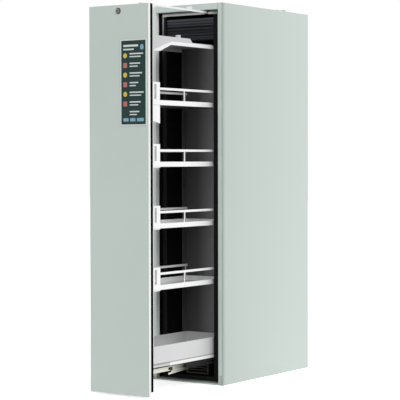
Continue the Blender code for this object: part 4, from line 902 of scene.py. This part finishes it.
class SAFETY_CABINET_OT_slide_buffers(bpy.types.Operator):
    """Black buffers in the drawer rails, just behind the slim noses"""
    bl_idname = "safety_cabinet.slide_buffers"
    bl_label = "Slide buffers"

    def execute(self, context):
        black = coated("buffer_rubber", (0.006, 0.006, 0.006), (0.004, 0.004, 0.004), 0.6, patch=0.05,
                       grain=0.0006, bump=0.2)
        bm = bmesh.new()
        low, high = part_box("slide_drawer_right")
        start = low.y + 0.168
        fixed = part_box("slide_fixed_right")
        middle = (fixed[0].z + fixed[1].z) / 2
        shape = [(-0.0015, -0.0105), (0.0150, -0.0105), (0.0185, -0.0060), (0.0165, 0.0), (0.0165, 0.0077),
                 (0.0, 0.0077)]
        for way in SIDES:
            rings = []
            for x, ease in ((0.1191, 0.0), (0.1280, 0.0), (0.1290, 0.06)):
                rings.append([(way * x, start + y + (0.0083 - y) * ease, middle + z * (1 - ease))
                              for y, z in shape])
            loft(bm, rings)
        put("slide_buffers", bm, black, "drawer")
        return {"FINISHED"}


class SAFETY_CABINET_OT_sign(bpy.types.Operator):
    """A dark sign with a plain pattern of bars, discs and tiles"""
    bl_idname = "safety_cabinet.sign"
    bl_label = "Sign"

    def execute(self, context):
        look = context.scene.sign_look
        dress(["sign_panel"], coated("sign_rim", look.rim, tuple(part * 0.93 for part in look.rim), 0.35,
                                     patch=0.08, grain=0.0008))
        low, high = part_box("sign_panel")
        rim = 0.0052
        field_y = low.y + 0.0010
        front_y = field_y - 0.0006
        ground = coated("sign_field", look.field, tuple(part * 0.8 for part in look.field), 0.6, patch=0.1,
                        grain=0.0006, bump=0.06, specular=0.15)
        bm = bmesh.new()
        tablet(bm, low.x + rim, low.z + rim, high.x - rim, high.z - rim, 0.002, field_y, front_y, 0.0002)
        put("sign_field", bm, ground, "drawer")
        inks = {
            "pale": (0.62, 0.68, 0.66),
            "yellow": (0.60, 0.46, 0.07),
            "rose": (0.42, 0.13, 0.13),
            "blue": (0.20, 0.36, 0.46),
        }
        for ink, colour in inks.items():
            bm = bmesh.new()
            for u0, v0, u1, v1, radius in self.marks(ink):
                wide, tall = high.x - low.x - 2 * rim, high.z - low.z - 2 * rim
                x0, z0 = low.x + rim + wide * u0, low.z + rim + tall * v0
                x1, z1 = low.x + rim + wide * u1, low.z + rim + tall * v1
                limit = min(x1 - x0, z1 - z0) / 2 * radius
                tablet(bm, x0, z0, x1, z1, max(limit, MM / 2), front_y, front_y - look.mark_height)
            print_ = coated("sign_ink_" + ink, colour, tuple(part * 0.85 for part in colour), 0.4, patch=0.05,
                            grain=0.0005, bump=0.05)
            put("sign_marks_" + ink, bm, print_, "drawer")
        return {"FINISHED"}

    def marks(self, ink):
        """Places of the marks of one colour, as shares of the field: left, low, right, high, roundness."""
        rows = []
        if ink == "pale":
            rows += [(0.08, 0.925, 0.70, 0.950, 1.0), (0.08, 0.885, 0.52, 0.903, 1.0)]
            for row in range(7):
                v = 0.80 - row * 0.115
                end = (0.90, 0.78, 0.86, 0.70, 0.92, 0.80, 0.74)[row]
                rows += [(0.34, v + 0.034, end, v + 0.050, 1.0), (0.34, v, end - 0.10, v + 0.014, 1.0)]
        if ink == "yellow":
            rows += [(0.08, 0.790 - 0.23 * step, 0.24, 0.850 - 0.23 * step, 1.0) for step in range(3)]
        if ink == "rose":
            rows += [(0.08, 0.675 - 0.23 * step, 0.24, 0.735 - 0.23 * step, 0.35) for step in range(3)]
        if ink == "blue":
            rows += [(0.08, 0.035, 0.30, 0.075, 0.5), (0.36, 0.035, 0.58, 0.075, 0.5),
                     (0.64, 0.035, 0.92, 0.075, 0.5), (0.78, 0.885, 0.92, 0.950, 1.0)]
        return rows


class SAFETY_CABINET_OT_lock_and_boss(bpy.types.Operator):
    """The lock with its ring, and the rim of the header boss"""
    bl_idname = "safety_cabinet.lock_and_boss"
    bl_label = "Lock and boss"

    def execute(self, context):
        look = context.scene.drawer_look
        dark = drawn_metal("dark_chrome", (0.22, 0.23, 0.23), (0.12, 0.12, 0.12), 0.25, stretch=(1, 1, 0.05),
                           line=0.0006, metallic=0.9)
        dress_slot("chrome", dark)
        low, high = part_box("lock_cylinder")
        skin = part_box("front_skin")[0].y
        middle = Vector((0, skin, frame_joint("lock_turn")[2]))
        ring = coated("lock_ring", (0.012, 0.012, 0.012), (0.008, 0.008, 0.008), 0.4, patch=0.02, grain=0.0005)
        bm = bmesh.new()
        outer = look.lock_ring
        turned(bm, [(0.0124, -0.0001), (outer, -0.0001), (outer, 0.0012), (outer - 0.0010, 0.0022),
                    (0.0132, 0.0022), (0.0124, 0.0014)], facing_matrix(middle, (0, -1, 0)), 40)
        put("lock_ring", bm, ring, "drawer", smooth=True)
        low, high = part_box("header_boss")
        rim = material_called("pale_plastic")
        bm = bmesh.new()
        centre = (low + high) / 2
        half_w, half_h = (high.x - low.x) / 2 + 0.0016, (high.z - low.z) / 2 + 0.0016
        tablet_ring(bm, centre, half_w, half_h, 0.0019, high.y, high.y - 0.0018)
        put("boss_rim", bm, rim, "cabinet", smooth=True)
        return {"FINISHED"}


def tablet_ring(bm, centre, half_w, half_h, wall, back_y, front_y):
    """A long-round ring that lies on a face towards -Y."""
    outer = long_round(centre.x - half_w, centre.z - half_h, centre.x + half_w, centre.z + half_h, half_h, 10)
    inner = long_round(centre.x - half_w + wall, centre.z - half_h + wall, centre.x + half_w - wall,
                       centre.z + half_h - wall, half_h - wall, 10)
    stages = ((outer, back_y), (outer, front_y), (inner, front_y), (inner, back_y))
    made = [[bm.verts.new((x, y, z)) for x, z in points] for points, y in stages]
    for stage in range(4):
        near, far = made[stage], made[(stage + 1) % 4]
        for index in range(len(near)):
            after = (index + 1) % len(near)
            bm.faces.new((near[index], near[after], far[after], far[index]))


def frame_joint(name):
    return [joint for joint in frame["joints"] if joint["name"] == name][0]["pos_m"]


class SAFETY_CABINET_OT_stage(bpy.types.Operator):
    """White floor, soft light and the camera"""
    bl_idname = "safety_cabinet.stage"
    bl_label = "Stage"

    def execute(self, context):
        look = context.scene.stage_look
        self.floor(look)
        self.world(look)
        self.lamp(look)
        self.camera()
        context.scene.view_settings.view_transform = "Standard"
        return {"FINISHED"}

    def floor(self, look):
        bm = bmesh.new()
        bmesh.ops.create_grid(bm, x_segments=8, y_segments=8, size=30)
        bmesh.ops.translate(bm, vec=(0, 0, -0.0005), verts=bm.verts)
        mesh = bpy.data.meshes.new("stage_floor")
        bm.to_mesh(mesh)
        bm.free()
        floor = bpy.data.objects.new("stage_floor", mesh)
        bpy.context.scene.collection.objects.link(floor)
        made, wires, shader = new_material("stage_floor")
        shader.inputs["Base Color"].default_value = rgba(look.floor)
        shader.inputs["Roughness"].default_value = 0.9
        shader.inputs["Specular IOR Level"].default_value = 0.1
        shader.inputs["Emission Color"].default_value = (1, 1, 1, 1)
        seen = seen_rays(wires)
        wires.tree.links.new(wires.math("MULTIPLY", seen, look.floor_lift), shader.inputs["Emission Strength"])
        mesh.materials.append(made)

    def world(self, look):
        world = bpy.data.worlds.new("soft_room")
        bpy.context.scene.world = world
        world.use_nodes = True
        wires = Wiring(world.node_tree)
        seen = seen_rays(wires)
        strength = wires.math("ADD", wires.math("MULTIPLY", seen, 1.0 - look.ambient), look.ambient)
        ground = world.node_tree.nodes["Background"]
        ground.inputs["Color"].default_value = (1, 1, 1, 1)
        wires.tree.links.new(strength, ground.inputs["Strength"])

    def lamp(self, look):
        light = bpy.data.lights.new("soft_lamp", "SUN")
        light.energy = look.sun
        light.angle = look.sun_spread
        lamp = bpy.data.objects.new("soft_lamp", light)
        bpy.context.scene.collection.objects.link(lamp)
        lamp.matrix_world = facing_matrix((3, -2, 4), (0.726, -0.436, 0.60))

    def camera(self):
        lens = bpy.data.cameras.new("photo_camera")
        lens.sensor_width = 36
        lens.sensor_fit = "HORIZONTAL"
        lens.lens = 1566 / 400 * 36
        lens.clip_end = 100
        camera = bpy.data.objects.new("photo_camera", lens)
        bpy.context.scene.collection.objects.link(camera)
        camera.matrix_world = (Matrix.Translation((4.674, -7.108, 1.169))
                               @ Matrix.Rotation(math.radians(34.5), 4, "Z")
                               @ Matrix.Rotation(math.radians(90 - 1.52), 4, "X")
                               @ Matrix.Rotation(math.radians(-0.11), 4, "Z"))
        bpy.context.scene.camera = camera


def seen_rays(wires):
    """One for rays of the camera, of gloss and through glass."""
    path = wires.node("ShaderNodeLightPath").outputs
    some = wires.math("MAXIMUM", path["Is Camera Ray"], path["Is Glossy Ray"])
    return wires.math("MAXIMUM", some, path["Is Transmission Ray"])


OPERATORS = (
    SAFETY_CABINET_OT_stage,
    SAFETY_CABINET_OT_casing_finish,
    SAFETY_CABINET_OT_inner_finish,
    SAFETY_CABINET_OT_drawer_finish,
    SAFETY_CABINET_OT_seals,
    SAFETY_CABINET_OT_roof_ducts,
    SAFETY_CABINET_OT_fasteners,
    SAFETY_CABINET_OT_slide_buffers,
    SAFETY_CABINET_OT_sign,
    SAFETY_CABINET_OT_lock_and_boss,
)

SETTINGS = {
    "casing_look": CasingLook,
    "drawer_look": DrawerLook,
    "fastener_sizes": FastenerSizes,
    "sign_look": SignLook,
    "stage_look": StageLook,
}


class SAFETY_CABINET_PT_looks(bpy.types.Panel):
    """Lists the cabinet's pieces and their settings"""
    bl_idname = "SAFETY_CABINET_PT_looks"
    bl_label = "Safety Cabinet"
    bl_space_type = "VIEW_3D"
    bl_region_type = "UI"
    bl_category = "Cabinet"

    def draw(self, context):
        column = self.layout.column()
        for name, group in SETTINGS.items():
            box = column.box()
            for key in group.__annotations__:
                box.prop(getattr(context.scene, name), key)
        for operator in OPERATORS:
            column.operator(operator.bl_idname)


def register():
    for group in SETTINGS.values():
        bpy.utils.register_class(group)
    for name, group in SETTINGS.items():
        setattr(bpy.types.Scene, name, PointerProperty(type=group))
    for kind in (*OPERATORS, SAFETY_CABINET_PT_looks):
        bpy.utils.register_class(kind)


def unregister():
    for kind in reversed((*OPERATORS, SAFETY_CABINET_PT_looks)):
        bpy.utils.unregister_class(kind)
    for name in SETTINGS:
        delattr(bpy.types.Scene, name)
    for group in SETTINGS.values():
        bpy.utils.unregister_class(group)


def main():
    register()
    for operator in OPERATORS:
        space, name = operator.bl_idname.split(".")
        getattr(getattr(bpy.ops, space), name)()


if __name__ == "__main__":
    main()
